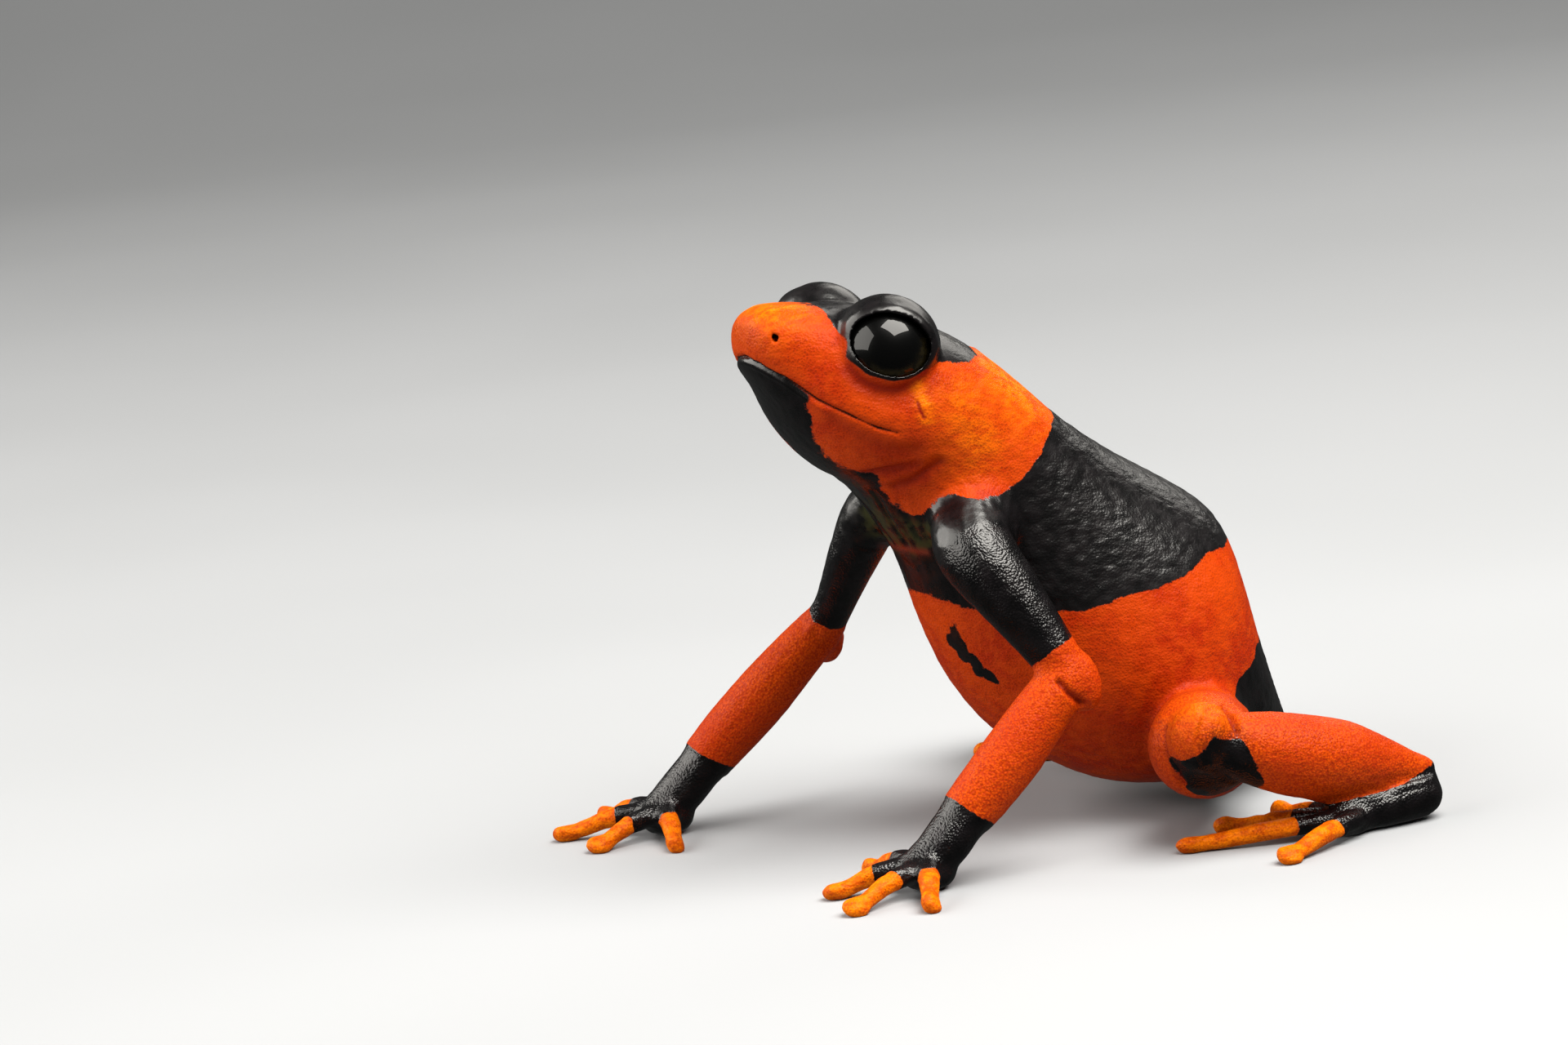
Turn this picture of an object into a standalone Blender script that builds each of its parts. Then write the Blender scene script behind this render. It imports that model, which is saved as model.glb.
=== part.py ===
"""Lehmann's poison frog, life size, sitting up on its hands with the hind legs folded.

The frog looks along -Y, its left side is at +X and the floor is z = 0. Lengths below are in
millimetres; the finished pieces are scaled to metres at the end.
"""

import math

import bmesh
import bpy
import numpy as np
from mathutils import Matrix, Vector
from mathutils.bvhtree import BVHTree
from mathutils.kdtree import KDTree

MM = 0.001
GAP = 0.3

# Fineness of the body's surface, rounds and strength of its smoothing
VOXEL = 0.2
RELAX_ROUNDS = 12
RELAX_PULL = 0.5
RELAX_PUSH = -0.53
SOFTEN_PULL = 0.6
SOFTEN_FADE = 1.6

# Slivers shorter than this go; tries at fewer triangles, and how many fewer each time
CLEAN = 0.004
THIN_ATTEMPTS = 12
THIN_STEP = 0.03
SHARP_ANGLE = 0.8
FLOOR_SNAP = 0.02
FLOOR_HALF = 30
FLOOR_DEPTH = 5

# Eyes
EYE_RADIUS = 1.95
EYE_CENTRE = (3.3, -7.7, 23.0)
EYE_AXIS = (0.93, -0.30, 0.20)
EYE_CLEARANCE = 0.20
EYE_OPENING = (1.87, 1.44)
LID_RADIUS = 2.44
LID_RIM_RADIUS = 0.26
LID_RIM_STEPS = 32
LID_RIM_WIDER = (0.12, 0.15)
LID_RIM_OUT = 0.12
LID_RIM_LEAST = 0.04
EYE_ACROSS = (0.2, -0.93, 0.42)
EYE_SEGMENTS = 24
EYE_RINGS = 14
OPENING_DEPTH = 4

# Mouth: distance along the head and height of its middle and of its corner
MOUTH_FRONT = (-13.05, 23.20)
MOUTH_CORNER = (-8.05, 19.35)
MOUTH_SAG = 0.38
MOUTH_PIVOT = -8.6
MOUTH_TURN = 97.0
MOUTH_STEPS = 30
MOUTH_WIDTH = 0.26
MOUTH_DEPTH = 0.42
MOUTH_OUT = 0.4
MOUTH_END_SHARE = 0.35
MOUTH_END_STEPS = 3
MOUTH_TRIES = 6
NOSTRIL = (1.85, -12.25, 24.0)
NOSTRIL_RADII = (0.17, 0.20, 0.42)
NOSTRIL_LEAN = (0, -0.3, 0.2)

# Places where forms melt together: centre, reach, rounds of smoothing
SOFT_JOINS = (
    ((4.9, -5.2, 15.2), 3.6, 34),
    ((6.9, 4.3, 4.6), 3.4, 12),
    ((3.3, -7.7, 21.3), 2.6, 10),
    ((2.6, -6.0, 25.0), 1.6, 8),
    ((4.6, 7.6, 11.3), 4.2, 50),
    ((5.6, 6.6, 8.0), 4.0, 50),
    ((1.6, 8.7, 11.8), 3.2, 24),
)

# Folds of the skin on the left side: points, width, depth
THROAT_FOLD = ((0.4, -9.3, 16.6), (3.6, -9.6, 17.4), (4.6, -8.3, 17.4), (5.2, -6.4, 18.2))
EYE_FOLD = ((4.2, -10.1, 21.9), (4.8, -9.1, 21.1), (5.0, -7.8, 20.9), (5.1, -6.2, 21.3))
FOLDS = ((THROAT_FOLD, 0.42, 0.22), (EYE_FOLD, 0.40, 0.12))

# Cuts
NECK_CENTRE = (0, -5.35, 19.40)
NECK_NORMAL = (0, -0.65, 0.76)
NECK_REACH = 6.6
SHOULDER_CUT = {"left": (5.7, -5.6, 13.8), "right": (-5.4, -5.6, 13.8)}
SHOULDER_NORMAL = (0.80, 0.05, -0.60)
SHOULDER_REACH = 2.5
ELBOW_CUT = {"left": 0.80, "right": 0.90}
WRIST_CUT = 0.97
LIMB_CUT_MARGIN = 0.7
HIP_CUT = {"left": (7.2, 4.0, 3.7), "right": (-7.2, 5.1, 3.7)}
HIP_NORMAL = (1.0, -0.05, -0.10)
HIP_REACH = 3.6
KNEE_SHIFT = (1.4, 0.9)
KNEE_REACH = (4.4, 3.3)
ANKLE_CUT = {"left": (13.75, 8.9, 1.72), "right": (-12.3, 12.0, 1.72)}
ANKLE_NORMAL = (0, -0.08, 1.0)
ANKLE_ALONG = (0.1, 1, 0)
ANKLE_REACH = (4.6, 2.6)
SOLE_CUT = 0.62
SOLE_CUT_MARGIN = 0.55

# Triangles kept in each kind of piece
BUDGETS = {
    "head": 4400,
    "torso": 2900,
    "upper_arm": 460,
    "forearm": 460,
    "hand": 420,
    "thigh": 480,
    "shank": 480,
    "tarsus": 340,
    "foot": 420,
    "finger": 170,
    "toe": 170,
}

# Base colour and roughness
RED = (0.62, 0.060, 0.008)
ORANGE = (0.72, 0.150, 0.012)
BLACK = (0.012, 0.010, 0.012)
COLOURS = {
    "head": (RED, 0.42),
    "torso": (RED, 0.42),
    "eye": ((0.008, 0.007, 0.006), 0.05),
    "upper_arm": (BLACK, 0.30),
    "forearm": (ORANGE, 0.42),
    "hand": (BLACK, 0.32),
    "thigh": (RED, 0.42),
    "shank": (ORANGE, 0.42),
    "tarsus": (BLACK, 0.34),
    "foot": (BLACK, 0.34),
    "finger": (ORANGE, 0.40),
    "toe": (ORANGE, 0.40),
}

# Trunk stations, snout to vent: name, dorsal y, dorsal z, ventral y, ventral z,
# half-width, level of the widest point, squareness of the section
TRUNK = (
    ("snout tip", -13.08, 24.25, -13.12, 23.65, 0.50, 0.50, 2.0),
    ("snout", -12.92, 24.78, -13.06, 23.05, 1.25, 0.50, 2.1),
    ("lips", -12.55, 25.08, -12.92, 22.55, 1.80, 0.50, 2.2),
    ("nostrils", -11.90, 25.28, -12.58, 21.95, 2.30, 0.48, 2.4),
    ("muzzle", -10.90, 25.25, -11.95, 20.85, 2.95, 0.45, 2.5),
    ("front of eyes", -9.55, 25.05, -11.30, 19.50, 3.80, 0.44, 2.4),
    ("eyes", -7.95, 24.85, -10.45, 18.30, 4.62, 0.45, 2.3),
    ("back of eyes", -6.15, 24.20, -9.55, 17.40, 5.00, 0.45, 2.2),
    ("ears", -4.10, 23.20, -8.75, 16.85, 5.10, 0.47, 2.1),
    ("nape", -2.10, 21.85, -7.90, 15.90, 5.00, 0.50, 2.1),
    ("collar", -0.50, 20.38, -7.05, 14.50, 4.95, 0.50, 2.1),
    ("shoulders", 1.25, 18.58, -6.10, 12.60, 5.10, 0.52, 2.1),
    ("chest", 3.30, 16.85, -5.10, 9.20, 5.70, 0.50, 2.1),
    ("ribs", 5.40, 15.40, -3.98, 6.60, 6.35, 0.46, 2.1),
    ("loin", 7.30, 14.12, -2.20, 4.15, 6.90, 0.43, 2.1),
    ("hump", 8.60, 12.90, 0.30, 2.35, 7.10, 0.42, 2.1),
    ("hips", 9.15, 10.80, 2.40, 1.30, 6.80, 0.42, 2.1),
    ("rump", 9.60, 8.30, 4.80, 0.85, 5.90, 0.44, 2.1),
    ("seat", 10.20, 6.05, 7.20, 0.95, 4.60, 0.46, 2.1),
    ("tail", 11.00, 4.15, 9.50, 1.25, 2.80, 0.48, 2.0),
    ("vent", 11.75, 2.80, 11.10, 1.85, 1.00, 0.50, 2.0),
)

# Points down each limb with the radius there
ARMS = {
    "left": {
        "upper": (
            (2.9, -3.6, 15.6, 2.10),
            (4.9, -5.3, 14.4, 1.85),
            (6.0, -5.5, 13.6, 1.75),
            (7.2, -4.7, 11.7, 1.45),
            (8.4, -3.5, 9.1, 1.09),
            (8.8, -3.2, 8.1, 1.10),
        ),
        "fore": (
            (8.8, -3.3, 8.0, 1.15),
            (8.7, -4.3, 7.15, 1.24),
            (8.6, -6.0, 5.4, 1.36),
            (8.4, -7.65, 3.8, 1.30),
            (8.3, -8.65, 2.9, 1.17),
        ),
        "hand": (
            (8.3, -8.65, 2.9, 1.15),
            (8.25, -9.8, 1.75, 1.15),
            (8.1, -10.9, 1.05, 0.95),
        ),
        "knob": (8.95, -2.75, 8.05),
        "heading": (-0.10, -1.0),
    },
    "right": {
        "upper": (
            (-2.9, -3.6, 15.6, 2.00),
            (-4.8, -5.2, 14.4, 1.60),
            (-6.2, -5.7, 12.7, 1.25),
            (-8.4, -6.1, 9.9, 0.92),
            (-9.5, -6.4, 8.6, 1.00),
        ),
        "fore": (
            (-9.6, -6.5, 8.5, 1.08),
            (-9.95, -7.6, 7.5, 1.20),
            (-10.6, -9.4, 5.7, 1.34),
            (-11.3, -11.1, 4.0, 1.28),
            (-11.6, -12.1, 3.0, 1.15),
        ),
        "hand": (
            (-11.6, -12.1, 3.0, 1.13),
            (-11.9, -13.3, 1.8, 1.15),
            (-12.0, -14.4, 1.05, 0.95),
        ),
        "knob": (-10.0, -6.1, 8.25),
        "heading": (-0.05, -1.0),
    },
}
LEGS = {
    "left": {
        "thigh": (
            (3.2, 6.0, 2.9, 2.10),
            (7.5, 3.9, 3.75, 2.40),
            (10.7, 2.0, 4.5, 2.32),
            (12.0, 1.35, 5.0, 1.65),
        ),
        "knee": (12.65, 1.05, 5.25),
        "shank": (
            (12.75, 2.6, 4.65, 1.45),
            (13.0, 4.0, 4.2, 1.72),
            (13.2, 5.6, 3.68, 1.84),
            (13.35, 7.5, 3.2, 1.72),
            (13.5, 9.1, 2.75, 1.28),
            (13.7, 10.7, 2.3, 0.72),
            (13.75, 11.2, 2.15, 0.60),
        ),
        "foot": (
            (13.85, 10.8, 1.10, 1.12),
            (13.95, 9.1, 0.95, 0.98),
            (13.7, 7.1, 0.80, 0.85),
        ),
        "heading": (-0.33, -0.94),
    },
    "right": {
        "thigh": (
            (-3.2, 6.0, 2.9, 2.10),
            (-7.7, 5.1, 3.8, 2.40),
            (-11.4, 4.6, 4.5, 2.30),
            (-12.9, 4.3, 5.0, 1.65),
        ),
        "knee": (-13.5, 4.2, 5.25),
        "shank": (
            (-13.4, 5.7, 4.65, 1.45),
            (-13.1, 7.1, 4.2, 1.72),
            (-12.75, 8.7, 3.68, 1.84),
            (-12.3, 10.5, 3.2, 1.72),
            (-11.9, 12.1, 2.75, 1.28),
            (-11.55, 13.7, 2.3, 0.72),
            (-11.5, 14.2, 2.15, 0.60),
        ),
        "foot": (
            (-11.5, 13.8, 1.10, 1.12),
            (-12.4, 12.2, 0.95, 0.98),
            (-13.3, 10.4, 0.80, 0.85),
        ),
        "heading": (-0.15, -1.0),
    },
}

# Digits from the inner to the outer one: turn outwards in degrees, length past the pad
FINGERS = ((-74.0, 2.4), (-14.0, 3.0), (26.0, 3.7), (70.0, 2.6))
TOES = ((-114.0, 2.3), (-60.0, 3.5), (-30.0, 4.9), (-6.0, 6.3), (42.0, 3.7))
FINGER_CUT = 1.90
TOE_CUT = 2.15
DIGIT_CUT_ARC = {"finger": (-100, 95), "toe": (-140, 112)}
DIGIT_CUT_STEPS = 24
DIGIT_CUT_FOOT = -0.5
DIGIT_CUT_HEIGHT = 1.95
DIGIT_SPACING = 0.68
DIGIT_START = 0.5
DIGIT_BURIED = 0.9
DIGIT_RADIUS = 0.45
DIGIT_BEND_RADIUS = 0.40
DIGIT_TIP_RADIUS = 0.38
DIGIT_FLAT = 0.95
KNUCKLE_DROP = 0.20
BEND_DROP = 0.03
FINGER_ROOT_RADIUS = 0.55
TOE_ROOT_RADIUS = 0.47
DISC_RADII = (0.62, 0.68, 0.40)
DISC_SUNK = 0.08
DISC_AHEAD = 0.1

# Pads of the palm and the sole: shift from the last limb point, and radii
PALM_PAD = ((0, 0.35, -0.34), (1.30, 1.25, 0.78))
SOLE_PAD = ((0, 0.1, -0.2), (1.25, 1.30, 0.70))
PALM_FLAT = 0.92
SOLE_FLAT = 0.95

# Elbow and knee lumps
ELBOW_KNOB = (0.92, 0.92, 1.50)
ELBOW_WAY = (0.25, 0.17, -0.95)
KNEE_KNOB = (1.30, 1.45, 1.60)

# A point inside the head and one inside the torso, and the same for the upper arm
INSIDE_HEAD = (0, -9, 21)
INSIDE_TORSO = (0, 2, 9)
INSIDE_UPPER_ARM = 0.62

SIDES = {"left": 1.0, "right": -1.0}


def smooth_path(points, steps):
    """Points on a Catmull-Rom curve through the rows of points, end rows included."""
    rows = np.array(points, float)
    padded = np.vstack([2 * rows[0] - rows[1], rows, 2 * rows[-1] - rows[-2]])
    found = []
    for i in range(len(rows) - 1):
        a, b, c, d = padded[i : i + 4]
        for t in np.linspace(0, 1, steps, endpoint=False):
            cubic = -a + 3 * b - 3 * c + d
            square = 2 * a - 5 * b + 4 * c - d
            found.append(b + 0.5 * t * ((c - a) + t * (square + t * cubic)))
    found.append(rows[-1])
    return np.array(found)


class Sculpt:
    """Closed surfaces gathered into one mesh."""

    def __init__(self):
        self.points = []
        self.faces = []

    def rings(self, rings, first_pole, last_pole):
        start = len(self.points)
        count = len(rings[0])
        self.points.append(tuple(first_pole))
        for ring in rings:
            self.points.extend(tuple(p) for p in ring)
        self.points.append(tuple(last_pole))
        last = len(self.points) - 1
        for i in range(count):
            j = (i + 1) % count
            self.faces.append((start, start + 1 + j, start + 1 + i))
            for k in range(len(rings) - 1):
                a = start + 1 + k * count
                b = a + count
                self.faces.append((a + i, a + j, b + j, b + i))
            tail = last - count
            self.faces.append((last, tail + i, tail + j))

    def loft(self, stations, count=56, steps=5):
        table = smooth_path([row[1:] for row in stations], steps)
        angle = np.linspace(0, 2 * math.pi, count, endpoint=False)
        rings = []
        for dy, dz, vy, vz, width, level, power in table:
            c = np.cos(angle)
            s = np.sin(angle)
            x = width * np.sign(c) * np.abs(c) ** (2 / power)
            rise = np.abs(s) ** (2 / power)
            t = np.where(s > 0, level + (1 - level) * rise, level - level * rise)
            y = vy + t * (dy - vy)
            z = vz + t * (dz - vz)
            rings.append(np.stack([x, y, z], 1))
        self.rings(rings, rings[0].mean(0), rings[-1].mean(0))

    def tube(self, path, flat=1.0, count=28, steps=6):
        """A tapering round limb with domed ends; each point holds x, y, z, radius."""
        table = smooth_path(path, steps)
        centres = table[:, :3]
        sizes = table[:, 3]
        ahead = np.gradient(centres, axis=0)
        ahead /= np.linalg.norm(ahead, axis=1)[:, None]
        angle = np.linspace(0, 2 * math.pi, count, endpoint=False)
        up = Vector((0, 0, 1))
        if abs(up.dot(Vector(ahead[0]))) > 0.9:
            up = Vector((0, 1, 0))
        rows = []
        for centre, along, size in zip(centres, ahead, sizes):
            rows.append((centre, along, size))
        dome = (80, 55, 30)
        head = [self.capped(rows[0], -a) for a in dome]
        tail = [self.capped(rows[-1], a) for a in reversed(dome)]
        rings = []
        for centre, along, size in head + rows + tail:
            along = Vector(along)
            side = along.cross(up).normalized()
            lift = side.cross(along).normalized()
            up = lift
            wide = np.outer(np.cos(angle) * size, side)
            tall = np.outer(np.sin(angle) * size * flat, lift)
            rings.append(np.array(centre) + wide - tall)
        first = centres[0] - ahead[0] * sizes[0]
        last = centres[-1] + ahead[-1] * sizes[-1]
        self.rings(rings, first, last)

    @staticmethod
    def capped(row, degrees):
        centre, along, size = row
        bend = math.radians(degrees)
        return (centre + along * size * math.sin(bend), along, size * math.cos(bend))

    def ball(self, centre, radii, along=(0, 0, 1), count=28, rows=14):
        """An ellipsoid whose third radius lies on the direction along."""
        turn = Vector((0, 0, 1)).rotation_difference(Vector(along)).to_matrix()
        turn = np.array(turn)
        angle = np.linspace(0, 2 * math.pi, count, endpoint=False)
        rings = []
        for k in range(1, rows):
            bend = math.pi * (k / rows - 0.5)
            ring = np.stack(
                [
                    np.cos(angle) * math.cos(bend) * radii[0],
                    np.sin(angle) * math.cos(bend) * radii[1],
                    np.full(count, math.sin(bend) * radii[2]),
                ],
                1,
            )
            rings.append(ring @ turn.T + np.array(centre))
        pole = turn[:, 2] * radii[2]
        self.rings(rings, np.array(centre) - pole, np.array(centre) + pole)

    def object(self, name):
        mesh = bpy.data.meshes.new(name)
        mesh.from_pydata(self.points, [], self.faces)
        shell = bmesh.new()
        shell.from_mesh(mesh)
        bmesh.ops.recalc_face_normals(shell, faces=shell.faces)
        shell.to_mesh(mesh)
        shell.free()
        made = bpy.data.objects.new(name, mesh)
        bpy.context.scene.collection.objects.link(made)
        return made


def apply_modifiers(obj):
    graph = bpy.context.evaluated_depsgraph_get()
    mesh = bpy.data.meshes.new_from_object(obj.evaluated_get(graph))
    obj.modifiers.clear()
    old = obj.data
    obj.data = mesh
    bpy.data.meshes.remove(old)


def discard(obj):
    mesh = obj.data
    bpy.data.objects.remove(obj)
    bpy.data.meshes.remove(mesh)


def carve(target, cutter):
    """Cuts the cutter's shape out of the target and removes the cutter."""
    cut = target.modifiers.new("cut", "BOOLEAN")
    cut.operation = "DIFFERENCE"
    cut.solver = "MANIFOLD"
    cut.object = cutter
    apply_modifiers(target)
    discard(cutter)


def coordinates(mesh):
    flat = np.empty(len(mesh.vertices) * 3, np.float32)
    mesh.vertices.foreach_get("co", flat)
    return flat.reshape(-1, 3).astype(float)


def put_coordinates(mesh, points):
    mesh.vertices.foreach_set("co", np.ascontiguousarray(points, np.float32).ravel())
    mesh.update()


def edge_ends(mesh):
    flat = np.empty(len(mesh.edges) * 2, np.int32)
    mesh.edges.foreach_get("vertices", flat)
    return flat.reshape(-1, 2)


def relax(points, ends):
    """Smooths without shrinking: each pull towards the neighbours is followed by a push."""
    total = len(points)
    degree = np.bincount(ends.ravel(), minlength=total)[:, None]
    for _ in range(RELAX_ROUNDS):
        for pull in (RELAX_PULL, RELAX_PUSH):
            mean = np.zeros_like(points)
            for axis in range(3):
                mean[:, axis] = np.bincount(
                    ends[:, 0], points[ends[:, 1], axis], total
                ) + np.bincount(ends[:, 1], points[ends[:, 0], axis], total)
            points = points + pull * (mean / degree - points)
    return points


def soften(points, ends, centre, reach, rounds):
    """Melts the joins between two forms within reach of a point."""
    away = np.linalg.norm(points - np.array(centre), axis=1) / reach
    chosen = away < 1
    close = chosen[ends[:, 0]] | chosen[ends[:, 1]]
    near_ends = ends[close]
    pull = SOFTEN_PULL * np.clip(SOFTEN_FADE * (1 - away), 0, 1)[:, None]
    total = len(points)
    degree = np.maximum(np.bincount(near_ends.ravel(), minlength=total), 1)[:, None]
    for _ in range(rounds):
        mean = np.zeros_like(points)
        for axis in range(3):
            mean[:, axis] = np.bincount(
                near_ends[:, 0], points[near_ends[:, 1], axis], total
            ) + np.bincount(near_ends[:, 1], points[near_ends[:, 0], axis], total)
        points = np.where(chosen[:, None], points + pull * (mean / degree - points), points)
    return points


def normals_of(mesh):
    flat = np.empty(len(mesh.vertices) * 3, np.float32)
    mesh.vertex_normals.foreach_get("vector", flat)
    return flat.reshape(-1, 3).astype(float)


def groove(points, normals, line, width, depth):
    """A soft fold along a line, fading out towards both of its ends."""
    table = smooth_path(line, 12)
    away = np.linalg.norm(points[:, None, :] - table[None, :, :], axis=2)
    spot = away.argmin(1)
    fade = np.sin(np.pi * (spot + 0.5) / len(table)) ** 0.5
    drop = depth * fade * np.exp(-((away.min(1) / width) ** 2))
    return points - normals * drop[:, None]


def mirrored(point, side):
    return (point[0] * side, point[1], point[2])


def turned(heading, degrees):
    bend = math.radians(degrees)
    c = math.cos(bend)
    s = math.sin(bend)
    return Vector((heading[0] * c - heading[1] * s, heading[0] * s + heading[1] * c, 0))


def digit_paths(pad, heading, side, spread):
    """Root, knuckle and disc centre of each digit, with the way that it points."""
    length = math.hypot(*heading)
    heading = (heading[0] / length, heading[1] / length)
    across = Vector((-heading[1], heading[0], 0)) * side
    paths = []
    for number, (turn, reach) in enumerate(spread):
        way = turned(heading, turn * side)
        root = Vector(pad[:3]) + across * DIGIT_SPACING * (number - (len(spread) - 1) / 2)
        root = root + way * DIGIT_START
        knuckle = root + way * reach * 0.5 + Vector((0, 0, -KNUCKLE_DROP))
        tip = root + way * reach
        tip.z = DISC_RADII[2] - DISC_SUNK
        paths.append((root, knuckle, tip, way))
    return paths


def add_digits(body, paths, root_radius):
    for root, knuckle, tip, way in paths:
        bend = (knuckle + tip) / 2 - Vector((0, 0, BEND_DROP))
        body.tube(
            (
                (*(root - way * DIGIT_BURIED), root_radius),
                (*root, root_radius),
                (*knuckle, DIGIT_RADIUS),
                (*bend, DIGIT_BEND_RADIUS),
                (*tip, DIGIT_TIP_RADIUS),
            ),
            flat=DIGIT_FLAT,
        )
        end = tip + way * DISC_AHEAD
        body.ball(end, (DISC_RADII[0], DISC_RADII[2], DISC_RADII[1]), way)


def finger_paths(name):
    arm = ARMS[name]
    return digit_paths(arm["hand"][-1], arm["heading"], SIDES[name], FINGERS)


def toe_paths(name):
    leg = LEGS[name]
    return digit_paths(leg["foot"][-1], leg["heading"], SIDES[name], TOES)


def add_arm(body, name):
    arm = ARMS[name]
    body.tube(arm["upper"])
    body.tube(arm["fore"])
    body.ball(arm["knob"], ELBOW_KNOB, mirrored(ELBOW_WAY, SIDES[name]))
    body.tube(arm["hand"], flat=PALM_FLAT)
    shift, radii = PALM_PAD
    body.ball(Vector(arm["hand"][-1][:3]) + Vector(shift), radii)
    add_digits(body, finger_paths(name), FINGER_ROOT_RADIUS)


def add_leg(body, name):
    leg = LEGS[name]
    body.tube(leg["thigh"])
    body.ball(leg["knee"], KNEE_KNOB)
    body.tube(leg["shank"])
    body.tube(leg["foot"], flat=SOLE_FLAT)
    shift, radii = SOLE_PAD
    body.ball(Vector(leg["foot"][-1][:3]) + Vector(shift), radii)
    add_digits(body, toe_paths(name), TOE_ROOT_RADIUS)


def eye_frame(side):
    """Across, up and outward directions of the eye on this side."""
    out = Vector(mirrored(EYE_AXIS, side)).normalized()
    across = Vector(mirrored(EYE_ACROSS, side))
    across = (across - out * across.dot(out)).normalized()
    up = across.cross(out) * -side
    return across, up.normalized(), out


def add_lids(body, side):
    centre = Vector(mirrored(EYE_CENTRE, side))
    across, up, out = eye_frame(side)
    body.ball(centre, (LID_RADIUS, LID_RADIUS, LID_RADIUS))
    rim = []
    reach = EYE_RADIUS + EYE_CLEARANCE + LID_RIM_OUT
    for k in range(LID_RIM_STEPS + 1):
        turn = 2 * math.pi * k / LID_RIM_STEPS
        a = (EYE_OPENING[0] + LID_RIM_WIDER[0]) * math.cos(turn)
        b = (EYE_OPENING[1] + LID_RIM_WIDER[1]) * math.sin(turn)
        lift = math.sqrt(max(reach * reach - a * a - b * b, LID_RIM_LEAST))
        rim.append(centre + across * a + up * b + out * lift)
    body.tube([(*p, LID_RIM_RADIUS) for p in rim], count=12, steps=2)


def build_body():
    body = Sculpt()
    body.loft(TRUNK)
    for name, side in SIDES.items():
        add_arm(body, name)
        add_leg(body, name)
        add_lids(body, side)
    shape = body.object("body")
    remesh = shape.modifiers.new("skin", "REMESH")
    remesh.mode = "VOXEL"
    remesh.voxel_size = VOXEL
    apply_modifiers(shape)
    return shape


def prism(name, outline, depth_way):
    """A closed straight-sided solid from one flat outline moved along depth_way."""
    shape = Sculpt()
    count = len(outline)
    near_face = [Vector(p) for p in outline]
    far_face = [p + Vector(depth_way) for p in near_face]
    shape.points = near_face + far_face
    shape.faces.append(tuple(range(count)))
    shape.faces.append(tuple(reversed(range(count, 2 * count))))
    for i in range(count):
        j = (i + 1) % count
        shape.faces.append((i, j, j + count, i + count))
    return shape.object(name)


def disc(centre, normal, radius, thick=GAP):
    """A flat round plate centred on a point, as thin as the gap between two pieces."""
    normal = Vector(normal).normalized()
    side = normal.orthogonal().normalized()
    lift = normal.cross(side)
    base = Vector(centre) - normal * thick / 2
    ring = []
    for k in range(40):
        turn = 2 * math.pi * k / 40
        ring.append(base + (side * math.cos(turn) + lift * math.sin(turn)) * radius)
    return prism("disc", ring, normal * thick)


def slab(name, centre, normal, along, reach):
    """A flat plate reaching this far along and across, as thin as the gap."""
    normal = Vector(normal).normalized()
    along = Vector(along)
    along = (along - normal * along.dot(normal)).normalized()
    across = normal.cross(along) * reach[1]
    along = along * reach[0]
    base = Vector(centre) - normal * GAP / 2
    corners = (along + across, across - along, -along - across, along - across)
    return prism(name, [base + c for c in corners], normal * GAP)


def sphere(centre, radius, count=32, rows=18):
    shape = Sculpt()
    shape.ball(centre, (radius, radius, radius), count=count, rows=rows)
    return shape.object("sphere")


def open_eye(body, side):
    """The socket, a little wider than the eyeball, and the opening between the lids."""
    centre = Vector(mirrored(EYE_CENTRE, side))
    across, up, out = eye_frame(side)
    carve(body, sphere(centre, EYE_RADIUS + EYE_CLEARANCE))
    ring = []
    for k in range(40):
        turn = 2 * math.pi * k / 40
        a = EYE_OPENING[0] * math.cos(turn)
        b = EYE_OPENING[1] * math.sin(turn)
        ring.append(centre + across * a + up * b)
    carve(body, prism("opening", ring, out * OPENING_DEPTH))


def mouth_height(y):
    """Height of the closed mouth at a distance along the head."""
    t = (y - MOUTH_FRONT[0]) / (MOUTH_CORNER[0] - MOUTH_FRONT[0])
    line = MOUTH_FRONT[1] + (MOUTH_CORNER[1] - MOUTH_FRONT[1]) * t
    return line - MOUTH_SAG * math.sin(math.pi * min(max(t, 0), 1))


def mouth_line(tree, side):
    """Points where the mouth meets the skin, from the middle of the lip to the corner."""
    found = []
    for k in range(MOUTH_STEPS + 1):
        turn = math.radians(MOUTH_TURN) * k / MOUTH_STEPS
        way = Vector((math.sin(turn) * side, -math.cos(turn), 0))
        z = MOUTH_FRONT[1]
        for _ in range(MOUTH_TRIES):
            hit = tree.ray_cast(Vector((0, MOUTH_PIVOT, z)), way)[0]
            z = mouth_height(hit.y)
        found.append((hit, way))
    return found


def cut_mouth(body):
    """A thin wedge-shaped groove round the mouth."""
    tree = BVHTree.FromObject(body, bpy.context.evaluated_depsgraph_get())
    left = mouth_line(tree, 1)
    right = mouth_line(tree, -1)
    line = left[::-1] + right[1:]
    shape = Sculpt()
    last = len(line) - 1
    half = MOUTH_WIDTH / 2
    for number, (point, way) in enumerate(line):
        edge = min(number, last - number) / MOUTH_END_STEPS
        depth = MOUTH_DEPTH * min(1, MOUTH_END_SHARE + (1 - MOUTH_END_SHARE) * edge)
        outer = point + way * MOUTH_OUT
        shape.points.append(outer + Vector((0, 0, half)))
        shape.points.append(outer - Vector((0, 0, half)))
        shape.points.append(point - way * depth)
    for k in range(last):
        a = 3 * k
        for i in range(3):
            j = (i + 1) % 3
            shape.faces.append((a + i, a + j, a + 3 + j, a + 3 + i))
    shape.faces.append((0, 2, 1))
    shape.faces.append((3 * last, 3 * last + 1, 3 * last + 2))
    carve(body, shape.object("mouth"))


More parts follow.
